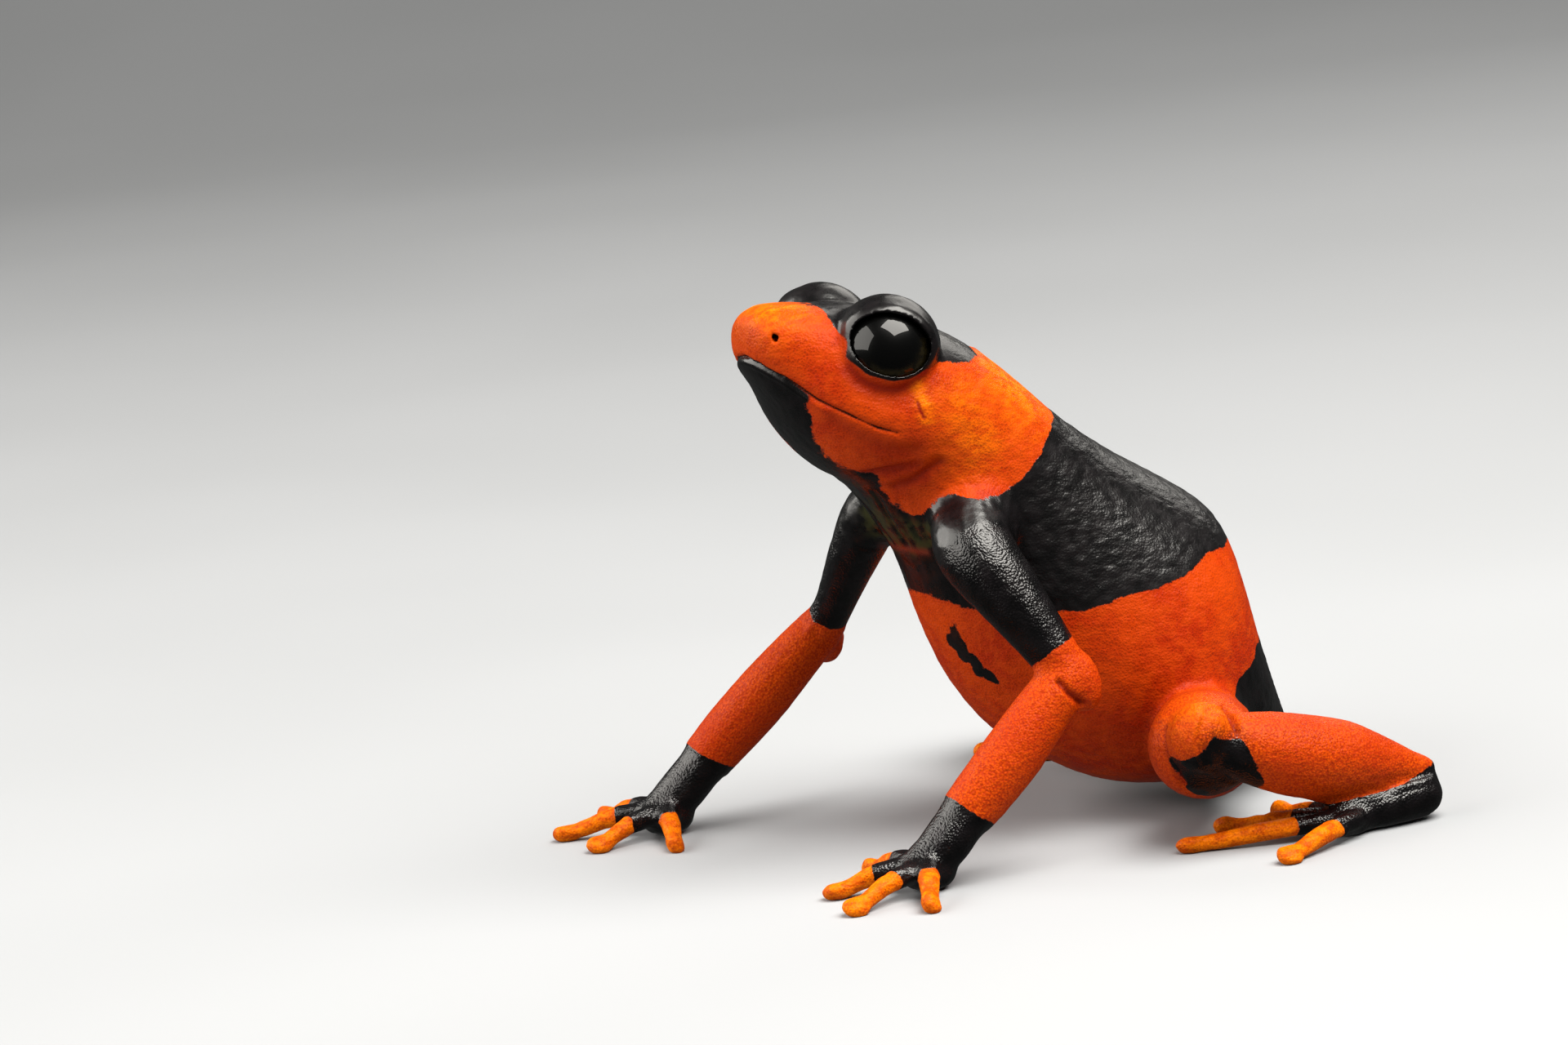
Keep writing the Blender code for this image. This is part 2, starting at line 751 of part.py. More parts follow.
def cut_nostrils(body):
    tree = BVHTree.FromObject(body, bpy.context.evaluated_depsgraph_get())
    for side in SIDES.values():
        point, normal, _, _ = tree.find_nearest(Vector(mirrored(NOSTRIL, side)))
        way = (normal + Vector(NOSTRIL_LEAN)).normalized()
        shape = Sculpt()
        shape.ball(point, NOSTRIL_RADII, way, 16, 10)
        carve(body, shape.object("nostril"))


def knee_cut(leg):
    """A plate between the thigh and the shank folded against it."""
    knee = Vector(leg["knee"])
    a = (Vector(leg["thigh"][1][:3]) - knee).normalized()
    b = (Vector(leg["shank"][3][:3]) - knee).normalized()
    centre = knee + (a + b).normalized() * KNEE_SHIFT[0] + b * KNEE_SHIFT[1]
    return slab("knee", centre, a - b, a + b, KNEE_REACH)


def digit_cut(pad, heading, side, reach, arc):
    """An upright wall round the palm or sole, which parts all its digits from it."""
    inner = []
    outer = []
    base = Vector((pad[0], pad[1], DIGIT_CUT_FOOT))
    way = Vector((*heading, 0)).normalized()
    for k in range(DIGIT_CUT_STEPS + 1):
        turn = arc[0] + (arc[1] - arc[0]) * k / DIGIT_CUT_STEPS
        out = turned(way, turn * side)
        inner.append(base + out * reach)
        outer.append(base + out * (reach + GAP))
    return prism("wall", inner + outer[::-1], (0, 0, DIGIT_CUT_HEIGHT))


def part_body(body):
    """Every cut that divides the body."""
    carve(body, disc(NECK_CENTRE, NECK_NORMAL, NECK_REACH))
    for name, side in SIDES.items():
        arm = ARMS[name]
        leg = LEGS[name]
        carve(body, disc(SHOULDER_CUT[name], mirrored(SHOULDER_NORMAL, side), SHOULDER_REACH))
        carve(body, cross_cut(arm["upper"], ELBOW_CUT[name], LIMB_CUT_MARGIN))
        carve(body, cross_cut(arm["fore"], WRIST_CUT, LIMB_CUT_MARGIN))
        carve(body, disc(HIP_CUT[name], mirrored(HIP_NORMAL, side), HIP_REACH))
        carve(body, knee_cut(leg))
        shin = mirrored(ANKLE_ALONG, side)
        carve(body, slab("ankle", ANKLE_CUT[name], ANKLE_NORMAL, shin, ANKLE_REACH))
        carve(body, cross_cut(leg["foot"], SOLE_CUT, SOLE_CUT_MARGIN))
        hand = (arm["hand"][-1], arm["heading"], side, FINGER_CUT, DIGIT_CUT_ARC["finger"])
        foot = (leg["foot"][-1], leg["heading"], side, TOE_CUT, DIGIT_CUT_ARC["toe"])
        carve(body, digit_cut(*hand))
        carve(body, digit_cut(*foot))


def spot_on(path, share):
    """The point this share of the way down a limb's points, and the way the limb runs."""
    table = smooth_path(path, 20)
    spot = min(int(share * (len(table) - 1)), len(table) - 2)
    return table[spot], table[spot + 1, :3] - table[spot, :3]


def cross_cut(path, share, margin):
    """A plate square to the limb."""
    spot, way = spot_on(path, share)
    return disc(spot[:3], way, spot[3] + margin)


def seeds():
    """A point inside each piece."""
    inside = {"head": INSIDE_HEAD, "torso": INSIDE_TORSO}
    for name in SIDES:
        arm = ARMS[name]
        leg = LEGS[name]
        inside["upper_arm_" + name] = spot_on(arm["upper"], INSIDE_UPPER_ARM)[0][:3]
        inside["forearm_" + name] = arm["fore"][2][:3]
        inside["hand_" + name] = arm["hand"][1][:3]
        inside["thigh_" + name] = leg["thigh"][2][:3]
        inside["shank_" + name] = leg["shank"][3][:3]
        inside["tarsus_" + name] = leg["foot"][0][:3]
        inside["foot_" + name] = leg["foot"][-1][:3]
        for number, path in enumerate(finger_paths(name), 1):
            inside[f"finger_{number}_{name}"] = path[2]
        for number, path in enumerate(toe_paths(name), 1):
            inside[f"toe_{number}_{name}"] = path[2]
    return inside


def components(mesh):
    """The number of the loose part that each vertex is in."""
    label = np.arange(len(mesh.vertices))
    ends = edge_ends(mesh)
    while True:
        low = np.minimum(label[ends[:, 0]], label[ends[:, 1]])
        fresh = label.copy()
        np.minimum.at(fresh, ends[:, 0], low)
        np.minimum.at(fresh, ends[:, 1], low)
        fresh = fresh[fresh]
        if (fresh == label).all():
            return label
        label = fresh


def split(body):
    """One object for each named piece, from the loose part nearest to its seed."""
    mesh = body.data
    label = components(mesh)
    points = coordinates(mesh)
    tree = KDTree(len(points))
    for index, point in enumerate(points):
        tree.insert(point, index)
    tree.balance()
    faces = [tuple(face.vertices) for face in mesh.polygons]
    face_label = label[[face[0] for face in faces]]
    pieces = {}
    owners = {}
    for name, seed in seeds().items():
        owner = label[tree.find(Vector(seed))[1]]
        if owner in owners:
            raise ValueError(name + " is joined to " + owners[owner])
        owners[owner] = name
        chosen = [faces[i] for i in np.flatnonzero(face_label == owner)]
        used = np.flatnonzero(label == owner)
        place = np.full(len(points), -1)
        place[used] = np.arange(len(used))
        made = bpy.data.meshes.new(name)
        rows = [tuple(int(place[v]) for v in face) for face in chosen]
        made.from_pydata(points[used].tolist(), [], rows)
        obj = bpy.data.objects.new(name, made)
        bpy.context.scene.collection.objects.link(obj)
        pieces[name] = obj
    discard(body)
    return pieces


def is_closed(mesh):
    shell = bmesh.new()
    shell.from_mesh(mesh)
    before = len(shell.verts)
    bmesh.ops.remove_doubles(shell, verts=shell.verts, dist=CLEAN)
    good = len(shell.verts) == before
    good = good and all(edge.is_manifold for edge in shell.edges)
    good = good and all(vert.is_manifold for vert in shell.verts)
    shell.free()
    return good


def weld(mesh):
    """Removes the slivers that cuts leave."""
    shell = bmesh.new()
    shell.from_mesh(mesh)
    bmesh.ops.remove_doubles(shell, verts=shell.verts, dist=CLEAN)
    bmesh.ops.dissolve_degenerate(shell, edges=shell.edges, dist=CLEAN)
    shell.to_mesh(mesh)
    shell.free()


def thin_out(obj, budget):
    """Fewer triangles, most of them left where the form bends."""
    whole = obj.data
    whole.calc_loop_triangles()
    total = len(whole.loop_triangles)
    for attempt in range(THIN_ATTEMPTS):
        if attempt == THIN_ATTEMPTS // 2:
            weld(whole)
        obj.data = whole.copy()
        less = obj.modifiers.new("thin", "DECIMATE")
        less.ratio = min(1, budget / total * (1 - THIN_STEP * attempt))
        less.use_collapse_triangulate = True
        apply_modifiers(obj)
        if is_closed(obj.data):
            break
    else:
        raise ValueError(obj.name + " can't be thinned and stay closed")
    bpy.data.meshes.remove(whole)


def entry_for(name, table):
    """The table's entry for the kind of piece that a name starts with."""
    kind = next(start for start in table if name.startswith(start))
    return table[kind]


def paint(obj):
    colour, roughness = entry_for(obj.name, COLOURS)
    material = bpy.data.materials.new(obj.name + "_skin")
    material.use_nodes = True
    shader = material.node_tree.nodes["Principled BSDF"]
    shader.inputs["Base Color"].default_value = (*colour, 1)
    shader.inputs["Roughness"].default_value = roughness
    shader.inputs["Metallic"].default_value = 0
    obj.data.materials.clear()
    obj.data.materials.append(material)


def middle_of(pieces):
    """The middle of the whole model's plan, at floor level."""
    points = np.vstack([coordinates(obj.data) for obj in pieces])
    middle = (points.min(0) + points.max(0)) / 2
    return Vector((middle[0], middle[1], 0))


def finish(obj, middle):
    points = coordinates(obj.data)
    low = np.abs(points[:, 2]) < FLOOR_SNAP
    points[low, 2] = 0
    put_coordinates(obj.data, points)
    obj.data.transform(Matrix.Scale(MM, 4) @ Matrix.Translation(-middle))
    for face in obj.data.polygons:
        face.use_smooth = True
    obj.data.set_sharp_from_angle(angle=SHARP_ANGLE)
    paint(obj)


def clear_scene():
    for obj in list(bpy.data.objects):
        bpy.data.objects.remove(obj)


def smooth_body(body):
    """Melts the forms together and presses the folds in."""
    ends = edge_ends(body.data)
    points = relax(coordinates(body.data), ends)
    for side in SIDES.values():
        for centre, reach, rounds in SOFT_JOINS:
            points = soften(points, ends, mirrored(centre, side), reach, rounds)
    put_coordinates(body.data, points)
    for side in SIDES.values():
        for line, width, depth in FOLDS:
            fold = [mirrored(p, side) for p in line]
            points = groove(points, normals_of(body.data), fold, width, depth)
        put_coordinates(body.data, points)


def level_floor(body):
    """Flattens whatever reaches below the floor."""
    h = FLOOR_HALF
    floor = [(-h, -h, 0), (h, -h, 0), (h, h, 0), (-h, h, 0)]
    carve(body, prism("floor", floor, (0, 0, -FLOOR_DEPTH)))


def eyeball(name, side):
    shape = Sculpt()
    radii = (EYE_RADIUS, EYE_RADIUS, EYE_RADIUS)
    centre = mirrored(EYE_CENTRE, side)
    shape.ball(centre, radii, mirrored(EYE_AXIS, side), EYE_SEGMENTS, EYE_RINGS)
    return shape.object(name)


def main():
    clear_scene()
    body = build_body()
    smooth_body(body)
    level_floor(body)
    cut_mouth(body)
    cut_nostrils(body)
    for side in SIDES.values():
        open_eye(body, side)
    part_body(body)
    pieces = split(body)
    for name, obj in pieces.items():
        thin_out(obj, entry_for(name, BUDGETS))
    for name, side in SIDES.items():
        pieces["eye_" + name] = eyeball("eye_" + name, side)
    middle = middle_of(pieces.values())
    for obj in pieces.values():
        finish(obj, middle)


main()
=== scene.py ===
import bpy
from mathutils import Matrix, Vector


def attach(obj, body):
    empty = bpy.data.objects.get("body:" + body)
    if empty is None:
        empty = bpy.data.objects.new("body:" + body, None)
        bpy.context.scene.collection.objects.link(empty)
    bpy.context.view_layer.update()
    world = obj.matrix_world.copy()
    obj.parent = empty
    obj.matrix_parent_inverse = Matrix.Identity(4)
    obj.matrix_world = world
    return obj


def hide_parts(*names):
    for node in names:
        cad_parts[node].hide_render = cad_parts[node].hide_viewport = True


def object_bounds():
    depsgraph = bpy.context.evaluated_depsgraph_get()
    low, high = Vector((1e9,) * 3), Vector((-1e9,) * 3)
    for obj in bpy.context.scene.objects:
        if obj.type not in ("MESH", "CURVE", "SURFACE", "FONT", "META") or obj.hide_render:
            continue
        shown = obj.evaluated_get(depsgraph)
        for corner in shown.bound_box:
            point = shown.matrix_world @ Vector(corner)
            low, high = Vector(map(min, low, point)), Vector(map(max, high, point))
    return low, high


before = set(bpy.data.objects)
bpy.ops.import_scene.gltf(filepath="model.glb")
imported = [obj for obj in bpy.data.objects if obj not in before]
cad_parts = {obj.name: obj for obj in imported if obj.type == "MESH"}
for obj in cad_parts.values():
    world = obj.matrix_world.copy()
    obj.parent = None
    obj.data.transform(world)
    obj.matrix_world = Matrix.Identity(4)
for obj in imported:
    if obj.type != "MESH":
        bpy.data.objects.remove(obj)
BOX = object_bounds()
BOX = (tuple(BOX[0]), tuple(BOX[1]))

import math

import bmesh
import bpy
import numpy as np
from mathutils import Matrix, Vector
from mathutils.bvhtree import BVHTree

MM = 0.001

# Shape of the skin, in mm
VOXEL = 0.08
SEAM_REACH = 0.42  # how far a cut face looks for its neighbour
SEAM_PUSH = 0.21
MIDLINE = 0.65
BOX_MARGIN = 0.002
KEEP_AT_MOUTH = 0.35
KEEP_AT_NOSTRIL = 0.5

# Eyes and lids, in mm
EYES = {"left": (3.95, -5.766, 23.0), "right": (-2.65, -5.766, 23.0)}
EYE_AXIS = (0.93, -0.30, 0.20)
EYE_WIDTH_WAY = (0.20, -0.93, 0.42)
EYE_RADIUS = 2.10
EYE_OPENING = (1.87, 1.44)  # half of its width and height
CORNEA_RISE = 0.07
CORNEA_EDGE = 0.72  # cosines of the angles from the eye's axis
CORNEA_TOP = 0.97
SOCKET_RADIUS = 2.15
LID_REACH = 2.65
LID_BLACK = 0.16
UPPER_LID = 1.08  # shares of the socket's wall that stay as lids
LOWER_LID = 0.42

# Edges of the markings seen from the side, as (y, z) in mm
HEAD_ORANGE = (
    (-12.6, 23.4), (-11.05, 23.15), (-10.96, 22.93), (-10.28, 22.33), (-9.45, 21.38),
    (-9.60, 21.10), (-9.49, 20.69), (-9.30, 20.10), (-9.13, 19.48), (-8.78, 18.84),
    (-8.36, 18.34), (-7.81, 17.93), (-7.18, 17.56), (-6.64, 17.44), (-6.23, 16.80),
    (-5.80, 16.17), (-5.43, 15.77), (-5.08, 15.36), (-4.86, 15.29), (-4.74, 15.50),
    (-4.60, 15.92), (-4.32, 16.29), (-3.95, 16.36), (-3.49, 16.16), (-2.79, 16.07),
    (-1.67, 16.13), (-0.71, 16.50), (0.31, 17.22), (1.00, 17.80), (1.82, 18.38),
    (2.52, 18.66), (3.05, 19.00), (3.35, 19.60), (3.35, 27.0), (-12.6, 27.0),
)
CAP_BLACK = (
    (-8.42, 27.0), (-8.42, 25.17), (-7.79, 25.02), (-7.95, 24.68), (-8.03, 24.21),
    (-8.03, 23.82), (-8.22, 22.95), (-7.57, 22.13), (-6.58, 21.72), (-5.60, 21.68),
    (-4.75, 21.98), (-3.46, 22.10), (-2.27, 21.85), (-1.51, 21.82), (-0.97, 21.89),
    (-0.55, 22.30), (-0.55, 27.0),
)
BODY_ORANGE = (
    (-8.0, 11.70), (-3.60, 11.38), (-3.77, 11.27), (-3.62, 11.22), (-3.10, 10.93),
    (-2.75, 10.75), (-1.20, 10.48), (0.28, 10.50), (1.17, 10.39), (2.02, 10.49),
    (2.93, 10.71), (4.02, 10.79), (5.17, 10.88), (6.25, 11.03), (7.28, 11.50),
    (8.06, 11.73), (9.32, 11.75), (13.0, 12.0), (13.0, 7.5), (10.11, 7.12),
    (9.46, 6.46), (8.37, 6.12), (7.60, 5.20), (7.00, 3.00), (7.00, -1.0), (-8.0, -1.0),
)
KNEE_BLACK = (
    (1.60, 4.30), (1.90, 4.66), (2.41, 4.85), (2.60, 5.30), (2.95, 5.50), (3.60, 5.15),
    (4.12, 5.25), (4.43, 4.61), (4.72, 3.95), (5.14, 2.97), (5.60, 1.20), (2.60, 1.20),
    (2.45, 3.16), (2.10, 3.60),
)
ANKLE_EDGE = ((8.0, 0.90), (9.63, 1.47), (10.85, 1.39), (12.23, 2.03), (12.94, 2.25), (15.0, 2.9))

# Lines on the surface, in mm
MOUTH = (
    (0.65, -11.10, 23.20), (1.25, -11.08, 23.12), (1.90, -10.96, 22.93), (2.85, -10.28, 22.33),
    (3.87, -9.30, 21.29), (4.79, -8.25, 20.52), (5.30, -7.18, 19.82), (5.46, -6.35, 19.50),
)
GULAR_FOLD = ((3.28, -7.06, 17.56), (3.93, -6.64, 17.67), (4.50, -6.00, 17.78), (4.75, -5.30, 18.00))
NECK_FOLD = ((3.60, -5.90, 16.70), (4.35, -5.32, 17.05), (4.78, -5.02, 17.34), (5.25, -4.40, 17.80))
JAW_FOLD = (
    (4.20, -8.79, 20.20), (4.71, -7.93, 19.40), (5.03, -6.96, 18.80), (5.20, -6.26, 18.60),
    (5.30, -5.60, 18.50),
)
EYE_FOLD = (
    (4.68, -8.13, 22.52), (4.95, -7.77, 21.91), (5.33, -7.13, 21.48), (5.60, -6.17, 21.28),
    (5.86, -5.39, 21.54), (5.95, -4.50, 21.95),
)
EAR_PATCH = ((5.60, -5.10, 21.25), (5.75, -5.00, 20.60), (5.70, -4.95, 19.95))
EAR_CREASE = ((5.64, -5.30, 20.70), (5.70, -5.26, 20.35), (5.74, -5.12, 20.00))
NOSTRIL = ((2.50, -10.40, 24.18), (2.53, -10.29, 24.06))
SHOULDER = (6.10, -4.60, 15.20)
SHOULDER_RADIUS = 0.80
CHEST_FOLDS = (
    ((1.99, -6.17, 16.35), (1.60, -5.60, 15.50), (1.45, -5.10, 14.60), (1.50, -4.70, 13.80)),
    ((3.10, -5.60, 15.90), (2.90, -5.10, 15.00), (2.70, -4.70, 14.20)),
)
KNEE_CREASE = ((12.40, 4.66, 6.05), (13.20, 4.40, 6.10), (13.89, 4.21, 5.97), (14.35, 4.13, 5.60))
THIGH_CREASE = ((11.80, 1.95, 5.60), (12.10, 1.80, 4.90), (12.40, 1.95, 4.10), (12.30, 2.40, 3.10))
ELBOW_CREASE = ((10.35, -2.20, 8.30), (10.58, -1.82, 7.70), (10.35, -1.20, 7.15))
CHEST_BAND = ((-3.74, -3.37, 12.81), (-1.20, -4.40, 13.40), (1.29, -4.53, 13.52), (2.60, -4.20, 13.48))
BLOTCH = (  # balls that make the belly's ragged patch: place and radius
    (2.55, -3.20, 10.0, 0.16), (2.30, -3.15, 9.6, 0.34), (1.80, -3.05, 9.15, 0.42),
    (2.30, -2.90, 8.95, 0.46), (2.20, -2.75, 8.5, 0.44), (2.75, -2.45, 8.2, 0.42),
    (2.60, -2.30, 7.7, 0.34), (3.20, -2.05, 7.6, 0.34), (3.45, -1.85, 7.25, 0.20),
)

# Folds: the line, which of them there are, painted shade in the crease and its width, depth and its
# width
FOLDS = (
    (GULAR_FOLD, "sides", 0.75, 0.42, 0.17, 0.24),
    (NECK_FOLD, "sides", 0.7, 0.40, 0.16, 0.24),
    (JAW_FOLD, "sides", 0.5, 0.60, 0.10, 0.35),
    (EYE_FOLD, "sides", 0.9, 0.34, 0.05, 0.22),
    (KNEE_CREASE, "knees", 0.9, 0.16, 0.22, 0.17),
    (THIGH_CREASE, "knees", 0.7, 0.20, 0.16, 0.18),
    (ELBOW_CREASE, "one", 0.9, 0.14, 0.24, 0.16),
    (EAR_CREASE, "sides", 1.2, 0.09, 0.05, 0.10),
    (CHEST_FOLDS[0], "sides", 0.0, 1.0, 0.10, 0.22),
    (CHEST_FOLDS[1], "sides", 0.0, 1.0, 0.10, 0.22),
)
MOUTH_DEPTH, MOUTH_WIDTH = 0.13, 0.08
LIP_RISE, LIP_BELOW, LIP_WIDTH = 0.07, 0.26, 0.16
NOSTRIL_DEPTH, NOSTRIL_WIDTH = 0.26, 0.12
RIM_RISE, RIM_RADIUS, RIM_WIDTH = 0.03, 0.24, 0.10

# Lumps of the skin: height and size in mm, and the height of a lump's edge in grains
SADDLE_LUMP, SADDLE_LUMP_SIZE = 0.035, 0.50
FINE_LUMP, FINE_LUMP_SIZE = 0.016, 0.42
LUMP_EDGE = 0.6

# Where the limbs change colour: a point on the edge and the way that is black
ELBOW_EDGE = {
    "left": ((9.50, -1.85, 9.50), (-0.387, -0.387, 0.838)),
    "right": ((-7.70, -4.50, 8.85), (0.614, 0.112, 0.782)),
}
WRIST_EDGE = {
    "left": ((9.05, -6.52, 3.04), (-0.05, -0.482, -0.876)),
    "right": ((-10.85, -9.97, 3.14), (0.05, -0.482, -0.876)),
}
KNEE = {"left": (13.30, 2.98, 5.25), "right": (-12.85, 6.13, 5.25)}
KNEE_PATCH_IN = 1.3  # how far the knee's black reaches in from the joint
ANKLE_SHIFT = {"left": 0.0, "right": 3.0}
HEEL_START = 7.5
RIGHT_KNEE_SHIFT = (-0.85, 3.15, 0.0)
ALL_BLACK = 0.4
ALL_ORANGE = -0.25

# Gold patches, partly their own colour and partly painted highlight where the top light falls: place
# in mm, strength and width
GOLD_AND_HIGHLIGHT_SPOTS = (
    ((2.6, 0.0, 20.1), 1.0, 2.4),
    ((4.7, -3.2, 20.0), 0.7, 1.3),
    ((5.0, -2.6, 18.4), 0.6, 1.3),
    ((1.6, -9.6, 25.1), 0.8, 1.4),
)
EAR_PATCH_WIDTH = 0.34
CHEST_BAND_WIDTH = 0.20
KNEE_SPOT_WIDTH = 1.5
KNEE_GOLD_AND_HIGHLIGHT = (0, 0, 1.2)  # from the knee's joint
KNEE_SPECKLE = (0.3, 0.6, 0.7)

# Camera, in mm and unit directions
CAMERA_PLACE = (259.92, -126.02, 64.63)
CAMERA_RIGHT = (0.4225, 0.9003, -0.1047)
CAMERA_UP = (-0.1111, 0.1661, 0.9798)
CAMERA_BACK = (0.8995, -0.4024, 0.1702)
LENS = 150.0

# Studio, in mm; lights give their way, distance, width, height and power
FLOOR_FRONT = -900.0
FLOOR_BACK = 300.0
FLOOR_SIDE = 1300.0
FLOOR_BELOW = 0.004
WALL_CURVE = 250.0
WALL_STEPS = 12
WALL_TOP = 1400.0
LIGHTS = {
    "softbox_top": ((0.40, 0.22, 0.84), 260, 250, 220, 2.6),
    "softbox_front": ((-0.32, -0.68, 0.44), 260, 420, 230, 1.5),
    "rim": ((-0.75, 0.85, 0.65), 320, 160, 160, 0.2),
}
LIT_PLACE = (1.0, -2.0, 16.0)
WARM_WHITE = (1.0, 0.965, 0.90)
ROOM_GREY = (0.50, 0.52, 0.50, 1.0)
ROOM_STRENGTH = 0.12

FLESH = sorted(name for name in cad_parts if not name.startswith("eye_"))
SIDES = {"left": 1.0, "right": -1.0}


def node_mesh(name):
    """Points in mm and triangles of a CAD node, with points in one place made one."""
    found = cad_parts[name]
    mesh = found.data
    mesh.calc_loop_triangles()
    points = np.empty(len(mesh.vertices) * 3)
    mesh.vertices.foreach_get("co", points)
    world = np.array(found.matrix_world)
    points = (points.reshape(-1, 3) @ world[:3, :3].T + world[:3, 3]) / MM
    faces = np.empty(len(mesh.loop_triangles) * 3, np.int64)
    mesh.loop_triangles.foreach_get("vertices", faces)
    _, first, index = np.unique(
        np.round(points, 4), axis=0, return_index=True, return_inverse=True
    )
    faces = index.reshape(-1)[faces].reshape(-1, 3)
    whole = (
        (faces[:, 0] != faces[:, 1]) & (faces[:, 1] != faces[:, 2]) & (faces[:, 0] != faces[:, 2])
    )
    return points[first], faces[whole]


def lengths(rows):
    return np.sqrt((rows * rows).sum(1))


def gather(index, values, count):
    """Sums of the rows of values by index."""
    if values.ndim == 1:
        return np.bincount(index, values, count)
    return np.stack([np.bincount(index, values[:, k], count) for k in range(values.shape[1])], 1)


def close_seams(pieces):
    """Each piece with its cut faces moved out, so that neighbours overlap a little."""
    points, faces, owner = [], [], []
    start = 0
    for number, (p, f) in enumerate(pieces.values()):
        points.append(p)
        faces.append(f + start)
        owner.append(np.full(len(f), number))
        start += len(p)
    points = np.concatenate(points)
    faces = np.concatenate(faces)
    owner = np.concatenate(owner)
    corners = points[faces]
    normal = np.cross(corners[:, 1] - corners[:, 0], corners[:, 2] - corners[:, 0])
    unit = normal / np.maximum(lengths(normal), 1e-12)[:, None]
    centre = corners.mean(1)
    tree = BVHTree.FromPolygons(points.tolist(), faces.tolist())
    head = list(pieces).index("head")
    cap = np.zeros(len(faces), bool)
    for i in range(len(faces)):
        way = Vector(unit[i])
        hit, other, face, far = tree.ray_cast(Vector(centre[i]) + way * 0.002, way, SEAM_REACH)
        if hit is None or other.dot(way) > -0.6:
            continue
        if owner[face] == owner[i] and owner[i] == head:
            continue
        cap[i] = True
    push = np.zeros_like(points)
    for k in range(3):
        push += gather(faces[cap][:, k], normal[cap], len(points))
    size = lengths(push)
    moved = size > 0
    points[moved] += SEAM_PUSH * push[moved] / size[moved][:, None]
    return points, faces, owner, tree


def mesh_object(name, points, faces, scale=1.0):
    """A new mesh object from numpy points and faces of one size."""
    mesh = bpy.data.meshes.new(name)
    count, sides = faces.shape
    mesh.vertices.add(len(points))
    mesh.vertices.foreach_set("co", (points * scale).ravel())
    mesh.loops.add(count * sides)
    mesh.loops.foreach_set("vertex_index", faces.ravel().astype(np.int32))
    mesh.polygons.add(count)
    mesh.polygons.foreach_set("loop_start", np.arange(0, count * sides, sides, dtype=np.int32))
    mesh.update(calc_edges=True)
    mesh.validate()
    mesh.polygons.foreach_set("use_smooth", np.ones(count, bool))
    made = bpy.data.objects.new(name, mesh)
    bpy.context.scene.collection.objects.link(made)
    return made


def remeshed(points, faces):
    """The union of the pieces as one even grid of quads, in mm."""
    rough = mesh_object("skin_rough", points, faces)
    remesh = rough.modifiers.new("even", "REMESH")
    remesh.mode = "VOXEL"
    remesh.voxel_size = VOXEL
    graph = bpy.context.evaluated_depsgraph_get()
    mesh = rough.evaluated_get(graph).to_mesh()
    found = np.empty(len(mesh.vertices) * 3)
    mesh.vertices.foreach_get("co", found)
    found = found.reshape(-1, 3)
    quads = np.empty(len(mesh.loops), np.int64)
    mesh.loops.foreach_get("vertex_index", quads)
    quads = quads.reshape(-1, 4)
    rough.evaluated_get(graph).to_mesh_clear()
    data = rough.data
    bpy.data.objects.remove(rough)
    bpy.data.meshes.remove(data)
    return found, quads


def largest(points, quads):
    """Only the biggest connected surface."""
    label = np.arange(len(points))
    while True:
        low = label[quads].min(1)
        fresh = label.copy()
        for k in range(4):
            np.minimum.at(fresh, quads[:, k], low)
        fresh = fresh[fresh]
        if np.array_equal(fresh, label):
            break
        label = fresh
    names, counts = np.unique(label, return_counts=True)
    keep = label == names[counts.argmax()]
    number = np.cumsum(keep) - 1
    return points[keep], number[quads[keep[quads[:, 0]]]]


class Surface:
    """The skin's points, and the sums over neighbours that smoothing needs."""

    def __init__(self, points, quads):
        self.points = points
        self.quads = quads
        ends = np.concatenate([quads[:, [k, (k + 1) % 4]] for k in range(4)])
        ends.sort(1)
        key = np.unique(ends[:, 0] * len(points) + ends[:, 1])
        a = key // len(points)
        b = key % len(points)
        self.a = np.concatenate([a, b])
        self.b = np.concatenate([b, a])
        self.degree = np.bincount(self.a, minlength=len(points)).astype(float)

    def mean(self, values):
        total = gather(self.a, values[self.b], len(self.points))
        return total / (self.degree[:, None] if values.ndim > 1 else self.degree)

    def smooth(self, rounds, there=0.5, back=-0.52):
        """Takes out small bumps and keeps the size."""
        for _ in range(rounds):
            for share in (there, back):
                self.points = self.points + share * (self.mean(self.points) - self.points)

    def blurred(self, values, rounds):
        for _ in range(rounds):
            values = values + 0.5 * (self.mean(values) - values)
        return values

    def normals(self):
        p = self.points[self.quads]
        across = np.cross(p[:, 2] - p[:, 0], p[:, 3] - p[:, 1])
        total = np.zeros_like(self.points)
        for k in range(4):
            total += gather(self.quads[:, k], across, len(self.points))
        return total / np.maximum(lengths(total), 1e-12)[:, None]


def to_line(points, line, reach=3.0):
    """Distance from each point to a line of points in space."""
    line = np.array(line, float)
    near = ((points > line.min(0) - reach) & (points < line.max(0) + reach)).all(1)
    found = np.full(len(points), reach)
    p = points[near]
    best = np.full(len(p), reach)
    for a, b in zip(line[:-1], line[1:]):
        along = b - a
        t = np.clip((p - a) @ along / (along @ along), 0, 1)
        best = np.minimum(best, lengths(p - a - t[:, None] * along))
    found[near] = best
    return found


def inside(points, outline):
    """Distance in mm to a closed outline, positive inside it."""
    outline = np.array(outline, float)
    best = np.full(len(points), 1e9)
    within = np.zeros(len(points), bool)
    for a, b in zip(outline, np.roll(outline, -1, 0)):
        along = b - a
        t = np.clip((points - a) @ along / (along @ along), 0, 1)
        gap = points - a - t[:, None] * along
        best = np.minimum(best, (gap * gap).sum(1))
        if a[1] == b[1]:
            continue
        crosses = (a[1] > points[:, 1]) != (b[1] > points[:, 1])
        at = a[0] + (points[:, 1] - a[1]) * (b[0] - a[0]) / (b[1] - a[1])
        within ^= crosses & (points[:, 0] < at)
    return np.where(within, 1, -1) * np.sqrt(best)


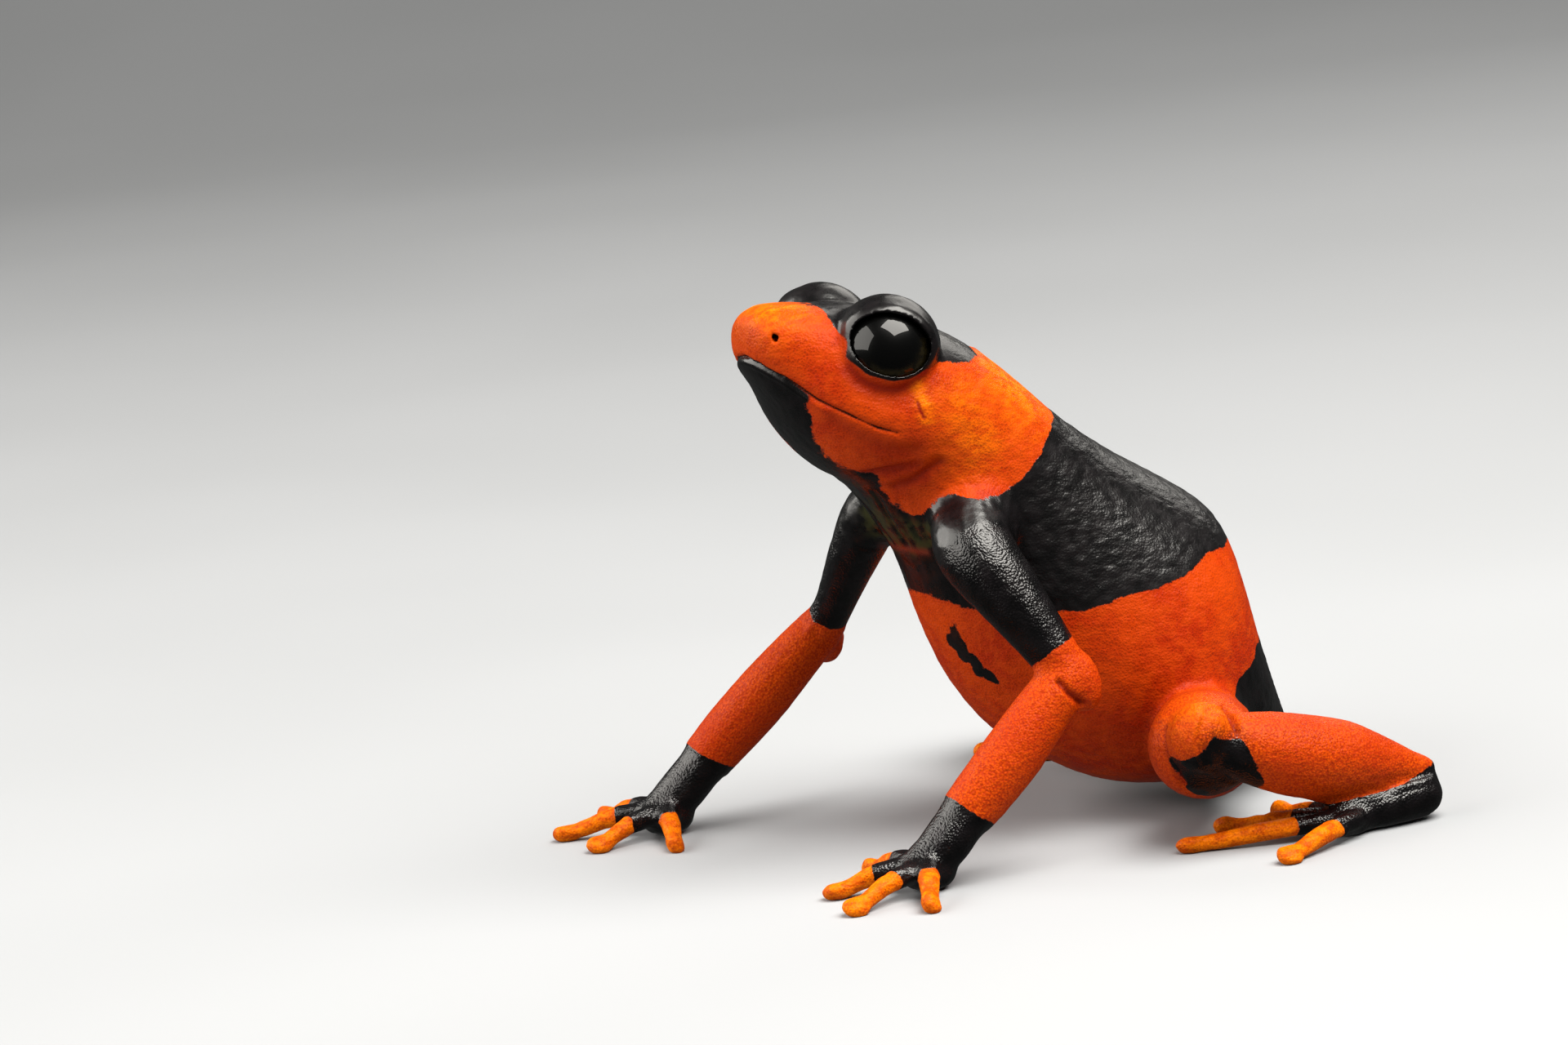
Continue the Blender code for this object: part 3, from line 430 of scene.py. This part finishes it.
def mirrored(line, shift=(0, 0, 0)):
    """The same line on the right side, moved by the shift."""
    return tuple((2 * MIDLINE - p[0] + shift[0], p[1] + shift[1], p[2] + shift[2]) for p in line)


def bell(distance, width):
    """One on the line, fading to nothing about two widths away."""
    return np.exp(-((distance / width) ** 2))


def both_sides(points, line, reach=3.0):
    return np.minimum(to_line(points, line, reach), to_line(points, mirrored(line), reach))


def spot(points, centre, width):
    """A soft round patch about a place, on both sides."""
    left = lengths(points - np.array(centre))
    right = lengths(points - np.array(mirrored([centre])[0]))
    return bell(np.minimum(left, right), width)


def step(low, high, values):
    """Rises smoothly from nothing at low to one at high."""
    t = np.clip((values - low) / (high - low), 0, 1)
    return t * t * (3 - 2 * t)


def cell_noise(points, size, seed):
    """Distance to the nearest scattered point in units of size, for grains."""
    q = points / size + seed * 17.3
    base = np.floor(q)
    best = np.full(len(points), 9.0)
    for dx in (-1, 0, 1):
        for dy in (-1, 0, 1):
            for dz in (-1, 0, 1):
                cell = base + (dx, dy, dz)
                mixed = np.stack(
                    [
                        np.sin(cell @ np.array((127.1, 311.7, 74.7))),
                        np.sin(cell @ np.array((269.5, 183.3, 246.1))),
                        np.sin(cell @ np.array((113.5, 271.9, 124.6))),
                    ],
                    1,
                )
                place = cell + (mixed * 43758.5453) % 1.0
                best = np.minimum(best, ((q - place) ** 2).sum(1))
    return np.sqrt(best)


def eye_frame(side):
    """The eye's centre, outward axis, and the directions across and up its opening."""
    sign = SIDES[side]
    out = Vector((EYE_AXIS[0] * sign, EYE_AXIS[1], EYE_AXIS[2])).normalized()
    across = Vector((EYE_WIDTH_WAY[0] * sign, EYE_WIDTH_WAY[1], EYE_WIDTH_WAY[2]))
    across = (across - out * across.dot(out)).normalized()
    up = across.cross(out) * -sign
    if up.z < 0:
        up = -up
    return np.array(EYES[side]), np.array(out), np.array(across), np.array(up)


def build_skin():
    """The flesh as one smooth surface, and which CAD piece each point belongs to."""
    pieces = {name: node_mesh(name) for name in FLESH}
    points, faces, owner, tree = close_seams(pieces)
    surface = Surface(*largest(*remeshed(points, faces)))
    surface.smooth(10)
    fine = surface.points.copy()
    surface.smooth(30)
    lids = surface.points.copy()
    surface.smooth(30)
    keep = np.zeros(len(fine))
    for centre in EYES.values():
        keep = np.maximum(keep, step(3.6, 2.9, lengths(fine - np.array(centre))))
    surface.points += keep[:, None] * (lids - surface.points)
    keep = bell(both_sides(fine, MOUTH), KEEP_AT_MOUTH)
    keep = np.maximum(keep, bell(both_sides(fine, NOSTRIL), KEEP_AT_NOSTRIL))
    surface.points += keep[:, None] * (fine - surface.points)

    kinds = np.array([owner[tree.find_nearest(p)[2]] for p in surface.points.tolist()])
    return surface, kinds, list(pieces)


def pick(kinds, names, start, side=""):
    chosen = [i for i, name in enumerate(names) if name.startswith(start) and name.endswith(side)]
    return np.isin(kinds, chosen)


def past(points, edge):
    """Distance beyond a flat edge."""
    point, way = edge
    return (points - np.array(point)) @ np.array(way)


def lid_gap(points):
    """Distance to the nearer eyeball, 2 mm at most."""
    gap = np.full(len(points), 2.0)
    for centre in EYES.values():
        gap = np.minimum(gap, np.abs(lengths(points - np.array(centre)) - EYE_RADIUS))
    return gap


def dark_field(surface, part):
    """How far each point lies inside the black markings, in mm, and below nothing in the orange."""
    p = surface.points
    chart = p[:, 1:]
    orange = np.minimum(inside(chart, HEAD_ORANGE), -inside(chart, CAP_BLACK))
    dark = -np.maximum(orange, inside(chart, BODY_ORANGE))
    balls = [(ball[:3], ball[3]) for ball in BLOTCH]
    balls += [(place, SHOULDER_RADIUS) for place in (SHOULDER, mirrored([SHOULDER])[0])]
    for centre, radius in balls:
        dark = np.maximum(dark, radius - lengths(p - np.array(centre)))
    dark = np.maximum(dark, LID_BLACK - lid_gap(p))
    for side, sign in SIDES.items():
        elbow = past(p, ELBOW_EDGE[side])
        upper_arm = part("upper_arm", side)
        dark[upper_arm] = elbow[upper_arm]
        forearm = part("forearm", side)
        dark[forearm] = np.maximum(past(p, WRIST_EDGE[side]), elbow)[forearm]
        knee = KNEE[side]
        patch = inside(chart - np.array((knee[1] - KNEE["left"][1], 0)), KNEE_BLACK)
        outer = sign * (p[:, 0] - knee[0]) + KNEE_PATCH_IN
        patch = np.where(outer > 0, patch, -1.0)
        along = p[:, 1] - ANKLE_SHIFT[side]
        level = np.interp(along, *zip(*ANKLE_EDGE))
        heel = np.where(along > HEEL_START, level - p[:, 2], -1.0)
        leg = part("thigh", side) | part("shank", side)
        dark[leg] = np.maximum(patch, heel)[leg]
        for piece in ("hand", "tarsus", "foot"):
            dark[part(piece, side)] = ALL_BLACK
    dark[part("finger") | part("toe")] = ALL_ORANGE
    return surface.blurred(np.clip(dark, -2, 2), 12)


def to_fold(points, line, there_are):
    """Distance to a fold, which is on both sides, at both knees, or in one place."""
    measure = {"sides": both_sides, "knees": knee_lines, "one": to_line}[there_are]
    return measure(points, line)


# Painted shade: how dark each point is made by the creases of the folds
def fold_shade(p):
    shade = np.zeros(len(p))
    for line, there_are, strength, width, _, _ in FOLDS:
        if strength:
            shade = np.maximum(shade, strength * bell(to_fold(p, line, there_are), width))
    return shade


def knee_spot(points, shift):
    """A soft round patch near each knee."""
    away = [lengths(points - np.array(knee) - shift) for knee in KNEE.values()]
    return bell(np.minimum(*away), KNEE_SPOT_WIDTH)


def gold_and_highlight_share(p, digits):
    """Where the orange turns golden: the ear, the nape, the snout, the knees and the digits; partly
    their own colour, partly a painted highlight where the top light falls on the nape, the snout and
    the knees.
    """
    gold_and_highlight = bell(both_sides(p, EAR_PATCH), EAR_PATCH_WIDTH)
    for place, strength, width in GOLD_AND_HIGHLIGHT_SPOTS:
        gold_and_highlight = np.maximum(gold_and_highlight, strength * spot(p, place, width))
    gold_and_highlight = np.maximum(gold_and_highlight, 0.5 * knee_spot(p, KNEE_GOLD_AND_HIGHLIGHT))
    return np.where(digits, 0.9, gold_and_highlight)


def chest_olive(p, body, dark):
    """Where the black of the throat and chest turns olive."""
    olive = np.where(body, step(0.1, 0.5, dark), 0) * step(-3.0, -4.0, p[:, 1])
    olive *= step(12.9, 13.6, p[:, 2]) * step(17.4, 16.2, p[:, 2])
    return olive * step(4.3, 3.5, np.abs(p[:, 0] - MIDLINE))


def paint_fields(surface, kinds, names):
    """Fields over the skin that its material turns into markings, and into painted shade and painted
    highlight.
    """

    def part(start, side=""):
        return pick(kinds, names, start, side)

    p = surface.points
    body = part("head") | part("torso")
    dark = dark_field(surface, part)
    soft = {
        "coarse": np.where(body, step(-3.4, -2.0, p[:, 1]), 0.0) * step(-0.3, 0.9, dark),
        "limb": 1.0 - body.astype(float),
        "gold_and_highlight": gold_and_highlight_share(p, part("finger") | part("toe")),
        "olive": chest_olive(p, body, dark),
    }
    fields = {name: surface.blurred(values, 15) for name, values in soft.items()}
    fields["dark"] = dark
    fields["lid"] = lid_gap(p)
    # painted shade in the creases of the folds
    fields["fold"] = fold_shade(p)
    fields["speckle"] = knee_spot(p, KNEE_SPECKLE)
    fields["band"] = np.where(body, bell(to_line(p, CHEST_BAND), CHEST_BAND_WIDTH), 0.0)
    fields["mouth"] = both_sides(p, MOUTH, 1.0)
    fields["pit"] = both_sides(p, NOSTRIL, 1.0)
    return fields


def knee_lines(points, line, reach=3.0):
    """Distance to a line about the left knee and to its like about the right one."""
    return np.minimum(
        to_line(points, line, reach), to_line(points, mirrored(line, RIGHT_KNEE_SHIFT), reach)
    )


def tighten_lids(surface):
    """Draws the lids in until they lie on the eyeballs."""
    for side in SIDES:
        centre, out, across, up = eye_frame(side)
        away = surface.points - centre
        far = lengths(away)
        near = far < LID_REACH
        above = np.maximum(far - SOCKET_RADIUS, 0)
        skin_side = EYE_RADIUS + 0.01
        fresh = skin_side + above * (LID_REACH - skin_side) / (LID_REACH - SOCKET_RADIUS)
        rise = away @ up
        ring = np.hypot(away @ across / EYE_OPENING[0], rise / EYE_OPENING[1])
        rim = step(1.8, 1.2, ring) * (away @ out > 0)
        upper = step(-0.6, 0.9, rise)
        thick = LOWER_LID + (UPPER_LID - LOWER_LID) * upper
        fresh += rim * (skin_side + above * thick - fresh)
        surface.points[near] = (centre + away * (fresh / far)[:, None])[near]


def sculpt(surface, fields):
    """Draws in the lids, then cuts and raises the small forms of the skin."""
    tighten_lids(surface)
    p = surface.points
    n = surface.normals()
    mouth = both_sides(p, MOUTH)
    rise = -MOUTH_DEPTH * bell(mouth, MOUTH_WIDTH)
    _, mouth_y, mouth_z = zip(*MOUTH)
    below = step(0.0, -0.3, p[:, 2] - np.interp(p[:, 1], mouth_y, mouth_z))
    front = step(-8.4, -9.4, p[:, 1])
    rise += LIP_RISE * bell(mouth - LIP_BELOW, LIP_WIDTH) * below * front
    for line, there_are, _, _, depth, width in FOLDS:
        rise -= depth * bell(to_fold(p, line, there_are), width)
    pit = fields["pit"]
    rise -= NOSTRIL_DEPTH * bell(pit, NOSTRIL_WIDTH)
    rise += RIM_RISE * bell(np.abs(pit - RIM_RADIUS), RIM_WIDTH)
    coarse = fields["coarse"]
    saddle = cell_noise(p * (1.0, 0.75, 1.2), SADDLE_LUMP_SIZE, 2)
    rise += coarse * SADDLE_LUMP * (LUMP_EDGE - saddle)
    elsewhere = (1 - coarse) * step(0.3, 1.2, fields["lid"])
    rise += elsewhere * FINE_LUMP * (LUMP_EDGE - cell_noise(p, FINE_LUMP_SIZE, 5))
    surface.points = p + n * rise[:, None]


class Socket:
    """One output of a material's nodes, written into sums and mixes."""

    def __init__(self, sheet, out):
        self.sheet = sheet
        self.out = out

    def maths(self, kind, other=None, clamp=False):
        links = {0: self} if other is None else {0: self, 1: other}
        return self.sheet.node("ShaderNodeMath", {"operation": kind, "use_clamp": clamp}, links)

    def __add__(self, other):
        return self.maths("ADD", other)

    def __radd__(self, other):
        return self.maths("ADD", other)

    def __sub__(self, other):
        return self.maths("SUBTRACT", other)

    def __rsub__(self, other):
        return self.sheet.value(other).maths("SUBTRACT", self)

    def __mul__(self, other):
        return self.maths("MULTIPLY", other)

    def __rmul__(self, other):
        return self.maths("MULTIPLY", other)

    def __truediv__(self, other):
        return self.maths("DIVIDE", other)

    def __pow__(self, other):
        return self.maths("POWER", other)

    def clamped(self):
        return self.maths("ADD", 0.0, clamp=True)

    def ramp(self, low, high, start=0.0, end=1.0):
        """Rises smoothly from start to end as this goes from low to high."""
        return self.sheet.node(
            "ShaderNodeMapRange",
            {"interpolation_type": "SMOOTHSTEP"},
            {"Value": self, "From Min": low, "From Max": high, "To Min": start, "To Max": end},
        )


class Sheet:
    """A new material and the nodes in it."""

    def __init__(self, name):
        self.material = bpy.data.materials.new(name)
        self.material.use_nodes = True
        self.tree = self.material.node_tree
        self.tree.nodes.clear()

    def node(self, kind, settings=None, links=None, output=0):
        made = self.tree.nodes.new(kind)
        for key, value in (settings or {}).items():
            setattr(made, key, value)
        for key, value in (links or {}).items():
            target = made.inputs[key]
            if isinstance(value, Socket):
                self.tree.links.new(value.out, target)
            else:
                target.default_value = value
        return Socket(self, made.outputs[output]) if made.outputs else None

    def value(self, number):
        return self.node("ShaderNodeMath", {"operation": "ADD"}, {0: number, 1: 0.0})

    def field(self, name):
        return self.node("ShaderNodeAttribute", {"attribute_name": name}, output="Fac")

    def place(self):
        return self.node("ShaderNodeTexCoord", output="Object")

    def stretched(self, place, x, y, z):
        return self.node(
            "ShaderNodeVectorMath", {"operation": "MULTIPLY"}, {0: place, 1: (x, y, z)}
        )

    def dot(self, place, way):
        settings = {"operation": "DOT_PRODUCT"}
        return self.node("ShaderNodeVectorMath", settings, {0: place, 1: tuple(way)}, "Value")

    def noise(self, place, size, detail=2.0, rough=0.5):
        """Soft noise about 0.5 with lumps of the given size in mm."""
        links = {"Vector": place, "Scale": 1 / (size * MM), "Detail": detail, "Roughness": rough}
        return self.node("ShaderNodeTexNoise", {"noise_dimensions": "3D"}, links)

    def cells(self, place, size, shift=0.0):
        """Distance from the middle of each grain of the given size in mm."""
        if shift:
            place = self.node(
                "ShaderNodeVectorMath", {"operation": "ADD"}, {0: place, 1: (shift * MM,) * 3}
            )
        links = {"Vector": place, "Scale": 1 / (size * MM)}
        return self.node("ShaderNodeTexVoronoi", {"feature": "F1"}, links, "Distance")

    def blend(self, share, first, second):
        settings = {"data_type": "RGBA", "blend_type": "MIX", "clamp_factor": True}
        return self.node("ShaderNodeMix", settings, {0: share, 6: first, 7: second}, 2)

    def bump(self, height, distance, strength):
        links = {"Height": height, "Distance": distance * MM, "Strength": strength}
        return self.node("ShaderNodeBump", None, links)

    def shader(self, **inputs):
        links = {key.replace("_", " "): value for key, value in inputs.items()}
        return self.node("ShaderNodeBsdfPrincipled", None, links)

    def finish(self, shader):
        self.node("ShaderNodeOutputMaterial", None, {"Surface": shader})


def rgb(red, green, blue):
    return (red, green, blue, 1.0)


PORE_RED = rgb(0.10, 0.003, 0.001)
RED = rgb(0.27, 0.013, 0.0012)
WARM_ORANGE = rgb(0.38, 0.035, 0.0010)
# golden orange, partly a painted highlight on the lit tops
GOLD_AND_HIGHLIGHT = rgb(0.66, 0.145, 0.0005)
# painted highlight on the tops of the granules and painted shade at their edges
LIT_BEAD_TOP = rgb(0.47, 0.054, 0.001)
SHADED_BEAD_EDGE = rgb(0.29, 0.022, 0.001)
# painted shade in the creases of the folds
CREASE_SHADE_RED = rgb(0.14, 0.004, 0.002)
FLECK_BROWN = rgb(0.020, 0.004, 0.002)
INK = rgb(0.0012, 0.001, 0.0012)
SOFT_INK = rgb(0.0035, 0.0025, 0.003)
OLIVE = rgb(0.020, 0.020, 0.004)
CHEST_RED = rgb(0.11, 0.010, 0.003)
# painted shade in the slit of the mouth
MOUTH_SHADE = rgb(0.012, 0.003, 0.002)
# painted shade inside the nostril
NOSTRIL_SHADE = rgb(0.004, 0.002, 0.002)
PUPIL = rgb(0.0006, 0.0006, 0.0006)
IRIS_DARK = rgb(0.0030, 0.0022, 0.0008)
IRIS_BROWN = rgb(0.014, 0.010, 0.0025)
IRIS_GLOW = rgb(0.060, 0.012, 0.003)
EYE_EDGE = rgb(0.0008, 0.0007, 0.0005)
PAPER = rgb(0.262, 0.271, 0.286)
LIGHT_PAPER = rgb(0.272, 0.281, 0.297)
PORE_SIZE = 0.11
BEAD_SIZE = 0.105
CELL_MIDDLE = 0.45  # about the mean of the cells' distance


def skin_material():
    """Orange and black skin, each with its own gloss, divided by the dark field."""
    sheet = Sheet("frog_skin")
    place = sheet.place()
    dark, lip, gold_and_highlight = sheet.field("dark"), sheet.field("mouth"), sheet.field("gold_and_highlight")
    coarse, limb = sheet.field("coarse"), sheet.field("limb")
    broad = sheet.noise(place, 3.0, 3.0)
    mottle = sheet.noise(place, 0.75, 3.0)
    pores = sheet.cells(place, PORE_SIZE)
    beads = sheet.cells(place, BEAD_SIZE, shift=3.0)
    ripple = sheet.noise(sheet.stretched(place, 1.0, 0.55, 1.5), 0.45, 2.0)
    folds = sheet.noise(sheet.stretched(place, 1.0, 0.7, 1.3), 0.50, 3.0, 0.55)

    # The edge between the colours is ragged, but not along the mouth and the lids
    loose = lip.ramp(0.10, 0.60) * sheet.field("lid").ramp(0.15, 0.80)
    wobble = (sheet.noise(place, 0.55, 3.0) - 0.5) * loose
    ragged = sheet.noise(place, 0.12, 2.0)
    edge = dark + wobble * 0.30 + (ragged - 0.5) * loose * 0.14
    black = edge.ramp(-0.035, 0.035)
    bright = 1 - black

    orange = sheet.blend(broad.ramp(0.30, 0.70), RED, WARM_ORANGE)
    orange = sheet.blend(mottle.ramp(0.42, 0.65) * 0.6, orange, WARM_ORANGE)
    # Painted highlight on each granule's top and painted shade at its edge, mostly on the limbs
    shaded_beads = sheet.blend(beads.ramp(0.20, 0.80), LIT_BEAD_TOP, SHADED_BEAD_EDGE)
    shaded_beads = sheet.blend(broad.ramp(0.35, 0.65, 0.0, 0.45), shaded_beads, RED)
    orange = sheet.blend(limb * 0.8 + 0.15, orange, shaded_beads)
    # Golden orange, partly painted highlight on the lit nape, snout and knees and on the tops of the
    # nape's ripples
    gilt_and_highlight = gold_and_highlight * ripple.ramp(0.36, 0.62, 0.40, 1.15) * beads.ramp(0.35, 0.75, 1.0, 0.7)
    orange = sheet.blend(gilt_and_highlight.clamped(), orange, GOLD_AND_HIGHLIGHT)
    stipple = pores.ramp(0.50, 0.10) * mottle.ramp(0.65, 0.35, 0.10, 0.50)
    orange = sheet.blend(stipple, orange, PORE_RED)
    # Painted shade darkens the creases of the folds
    orange = sheet.blend((sheet.field("fold") * 0.85).clamped(), orange, CREASE_SHADE_RED)
    flecks = beads.ramp(0.30, 0.50) * sheet.field("speckle") * dark.ramp(-0.75, -0.05)
    orange = sheet.blend((flecks * 0.9).clamped(), orange, FLECK_BROWN)
    # Painted shade in the slit of the mouth
    orange = sheet.blend(lip.ramp(0.075, 0.035) * 0.9, orange, MOUTH_SHADE)
    # Painted shade inside the nostril's pit
    orange = sheet.blend(sheet.field("pit").ramp(0.15, 0.08), orange, NOSTRIL_SHADE)

    ink = sheet.blend(mottle.ramp(0.3, 0.7), INK, SOFT_INK)
    olive = mottle.ramp(0.40, 0.62) * sheet.field("olive")
    ink = sheet.blend(olive.clamped(), ink, OLIVE)
    band = (sheet.field("band") * broad.ramp(0.3, 0.6, 0.4, 0.9)).clamped()
    ink = sheet.blend(band, ink, CHEST_RED)

    height = (folds - 0.5) * (coarse + bright * (gold_and_highlight * 0.5 + 0.6))
    height = height + (ripple - 0.5) * bright * 0.9
    pitted = bright * 0.45 + black * limb * 0.55 + coarse * 0.14 + 0.06
    height = height - (pores - CELL_MIDDLE) * pitted
    height = height - (beads - CELL_MIDDLE) * limb * bright * 0.4
    normal = sheet.bump(height, 0.055, 0.8)
    bright_skin = sheet.shader(
        Base_Color=orange,
        Roughness=mottle.ramp(0.3, 0.7, 0.36, 0.48),
        Specular_IOR_Level=0.05,
        Normal=normal,
    )
    black_skin = sheet.shader(
        Base_Color=ink,
        Roughness=mottle.ramp(0.3, 0.7, 0.25, 0.31) - limb * 0.04 + coarse * 0.02,
        Specular_IOR_Level=0.45,
        Normal=normal,
    )
    sheet.finish(sheet.node("ShaderNodeMixShader", None, {0: black, 1: bright_skin, 2: black_skin}))
    return sheet.material


def eye_material(side):
    """A near-black eye under a wet coat; its faint brown iris is painted only low at the back, where
    light falls into the eye, with a painted glow there.
    """
    sheet = Sheet("frog_eye_" + side)
    _, _, across, up = eye_frame(side)
    place = sheet.place()
    wide, high = (sheet.dot(place, way) / (EYE_RADIUS * MM) for way in (across, up))
    radius = (wide * wide + high * high) ** 0.5
    pupil_edge = ((wide / 1.12) ** 2.0 + (high / 0.98) ** 2.0) ** 0.5
    rays = sheet.noise(place, 0.45, 2.0)
    brown = sheet.blend(rays.ramp(0.35, 0.65), IRIS_DARK, IRIS_BROWN)
    # The brown iris is painted only where light falls into the eye, low at the back
    lit = (wide * 0.6 + high * 0.8).ramp(0.05, -0.60)
    colour = sheet.blend(pupil_edge.ramp(0.46, 0.60) * lit, PUPIL, brown)
    # A painted glow low on the iris
    low = (high + wide.maths("ABSOLUTE") * 0.3).ramp(-0.20, -0.45)
    glow = bell_ramp(radius, 0.70, 0.07) * low
    colour = sheet.blend(glow.clamped() * 0.8, colour, IRIS_GLOW)
    colour = sheet.blend(radius.ramp(0.70, 0.90), colour, EYE_EDGE)
    eye = sheet.shader(
        Base_Color=colour,
        Roughness=0.35,
        Specular_IOR_Level=0.05,
        Coat_Weight=1.0,
        Coat_Roughness=0.01,
        Coat_IOR=1.34,
    )
    sheet.finish(eye)
    return sheet.material


def bell_ramp(socket, middle, width):
    """One at the middle, falling to nothing a width away on each side."""
    return (1.0 - ((socket - middle) / width).maths("ABSOLUTE")).clamped()


def floor_material():
    sheet = Sheet("studio_paper")
    place = sheet.place()
    tone = sheet.noise(place, 40.0, 1.0).ramp(0.3, 0.7)
    colour = sheet.blend(tone, PAPER, LIGHT_PAPER)
    sheet.finish(sheet.shader(Base_Color=colour, Roughness=0.85))
    return sheet.material


def add_skin():
    surface, kinds, names = build_skin()
    fields = paint_fields(surface, kinds, names)
    sculpt(surface, fields)
    low, high = np.array(BOX) / MM
    surface.points = np.clip(surface.points, low + BOX_MARGIN, high - BOX_MARGIN)
    skin = mesh_object("skin", surface.points, surface.quads, MM)
    for name, values in fields.items():
        layer = skin.data.attributes.new(name, "FLOAT", "POINT")
        layer.data.foreach_set("value", values.astype(np.float32))
    skin.data.materials.append(skin_material())
    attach(skin, "root")
    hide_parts(*FLESH)


def add_eye(side):
    """A ball with the clear front of the eye standing a little proud."""
    centre, out, _, _ = eye_frame(side)
    shape = bmesh.new()
    bmesh.ops.create_uvsphere(shape, u_segments=96, v_segments=64, radius=EYE_RADIUS * MM)
    axis = Vector(out)
    for point in shape.verts:
        facing = point.co.normalized().dot(axis)
        rise = CORNEA_RISE * float(step(CORNEA_EDGE, CORNEA_TOP, facing))
        point.co *= 1 + rise / EYE_RADIUS
    for face in shape.faces:
        face.smooth = True
    mesh = bpy.data.meshes.new("eyeball_" + side)
    shape.to_mesh(mesh)
    shape.free()
    eye = bpy.data.objects.new("eyeball_" + side, mesh)
    bpy.context.scene.collection.objects.link(eye)
    eye.location = Vector(centre) * MM
    eye.data.materials.append(eye_material(side))
    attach(eye, "root")
    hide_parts("eye_" + side)


def add_floor():
    """A pale sweep: a flat floor with a wall curving up far behind."""
    rows = [(FLOOR_FRONT, 0.0), (FLOOR_BACK, 0.0)]
    for number in range(1, WALL_STEPS + 1):
        turn = math.radians(90 * number / WALL_STEPS)
        rows.append((FLOOR_BACK + WALL_CURVE * math.sin(turn), WALL_CURVE * (1 - math.cos(turn))))
    rows.append((FLOOR_BACK + WALL_CURVE, WALL_TOP))
    points = []
    away = np.array((-CAMERA_BACK[0], -CAMERA_BACK[1]))
    away = away / np.hypot(*away)
    beside = np.array((-away[1], away[0]))
    for far, height in rows:
        for across in (-FLOOR_SIDE, FLOOR_SIDE):
            place = away * far + beside * across
            points.append((place[0], place[1], height - FLOOR_BELOW))
    faces = [(2 * i, 2 * i + 1, 2 * i + 3, 2 * i + 2) for i in range(len(rows) - 1)]
    floor = mesh_object("studio_floor", np.array(points), np.array(faces), MM)
    floor.data.materials.append(floor_material())
    floor.visible_glossy = False


def add_camera():
    data = bpy.data.cameras.new("camera")
    data.lens = LENS
    data.sensor_width = 36.0
    data.clip_start = 0.01
    data.clip_end = 10.0
    camera = bpy.data.objects.new("camera", data)
    bpy.context.scene.collection.objects.link(camera)
    axes = Matrix((CAMERA_RIGHT, CAMERA_UP, CAMERA_BACK)).transposed().to_4x4()
    camera.matrix_world = Matrix.Translation(Vector(CAMERA_PLACE) * MM) @ axes
    bpy.context.scene.camera = camera


def add_light(name, way, distance, width, height, power):
    """A rectangular studio light in a direction from the frog, facing it."""
    data = bpy.data.lights.new(name, "AREA")
    data.shape = "RECTANGLE"
    data.size = width * MM
    data.size_y = height * MM
    data.energy = power
    data.color = WARM_WHITE
    light = bpy.data.objects.new(name, data)
    bpy.context.scene.collection.objects.link(light)
    way = Vector(way).normalized()
    light.location = (Vector(LIT_PLACE) + way * distance) * MM
    light.rotation_euler = way.to_track_quat("Z", "Y").to_euler()


def add_world():
    world = bpy.data.worlds.new("studio")
    world.use_nodes = True
    background = world.node_tree.nodes["Background"]
    background.inputs["Color"].default_value = ROOM_GREY
    background.inputs["Strength"].default_value = ROOM_STRENGTH
    bpy.context.scene.world = world


add_skin()
for eye_side in SIDES:
    add_eye(eye_side)
add_floor()
add_camera()
for light_name, light_values in LIGHTS.items():
    add_light(light_name, *light_values)
add_world()
bpy.context.scene.view_settings.view_transform = "Standard"
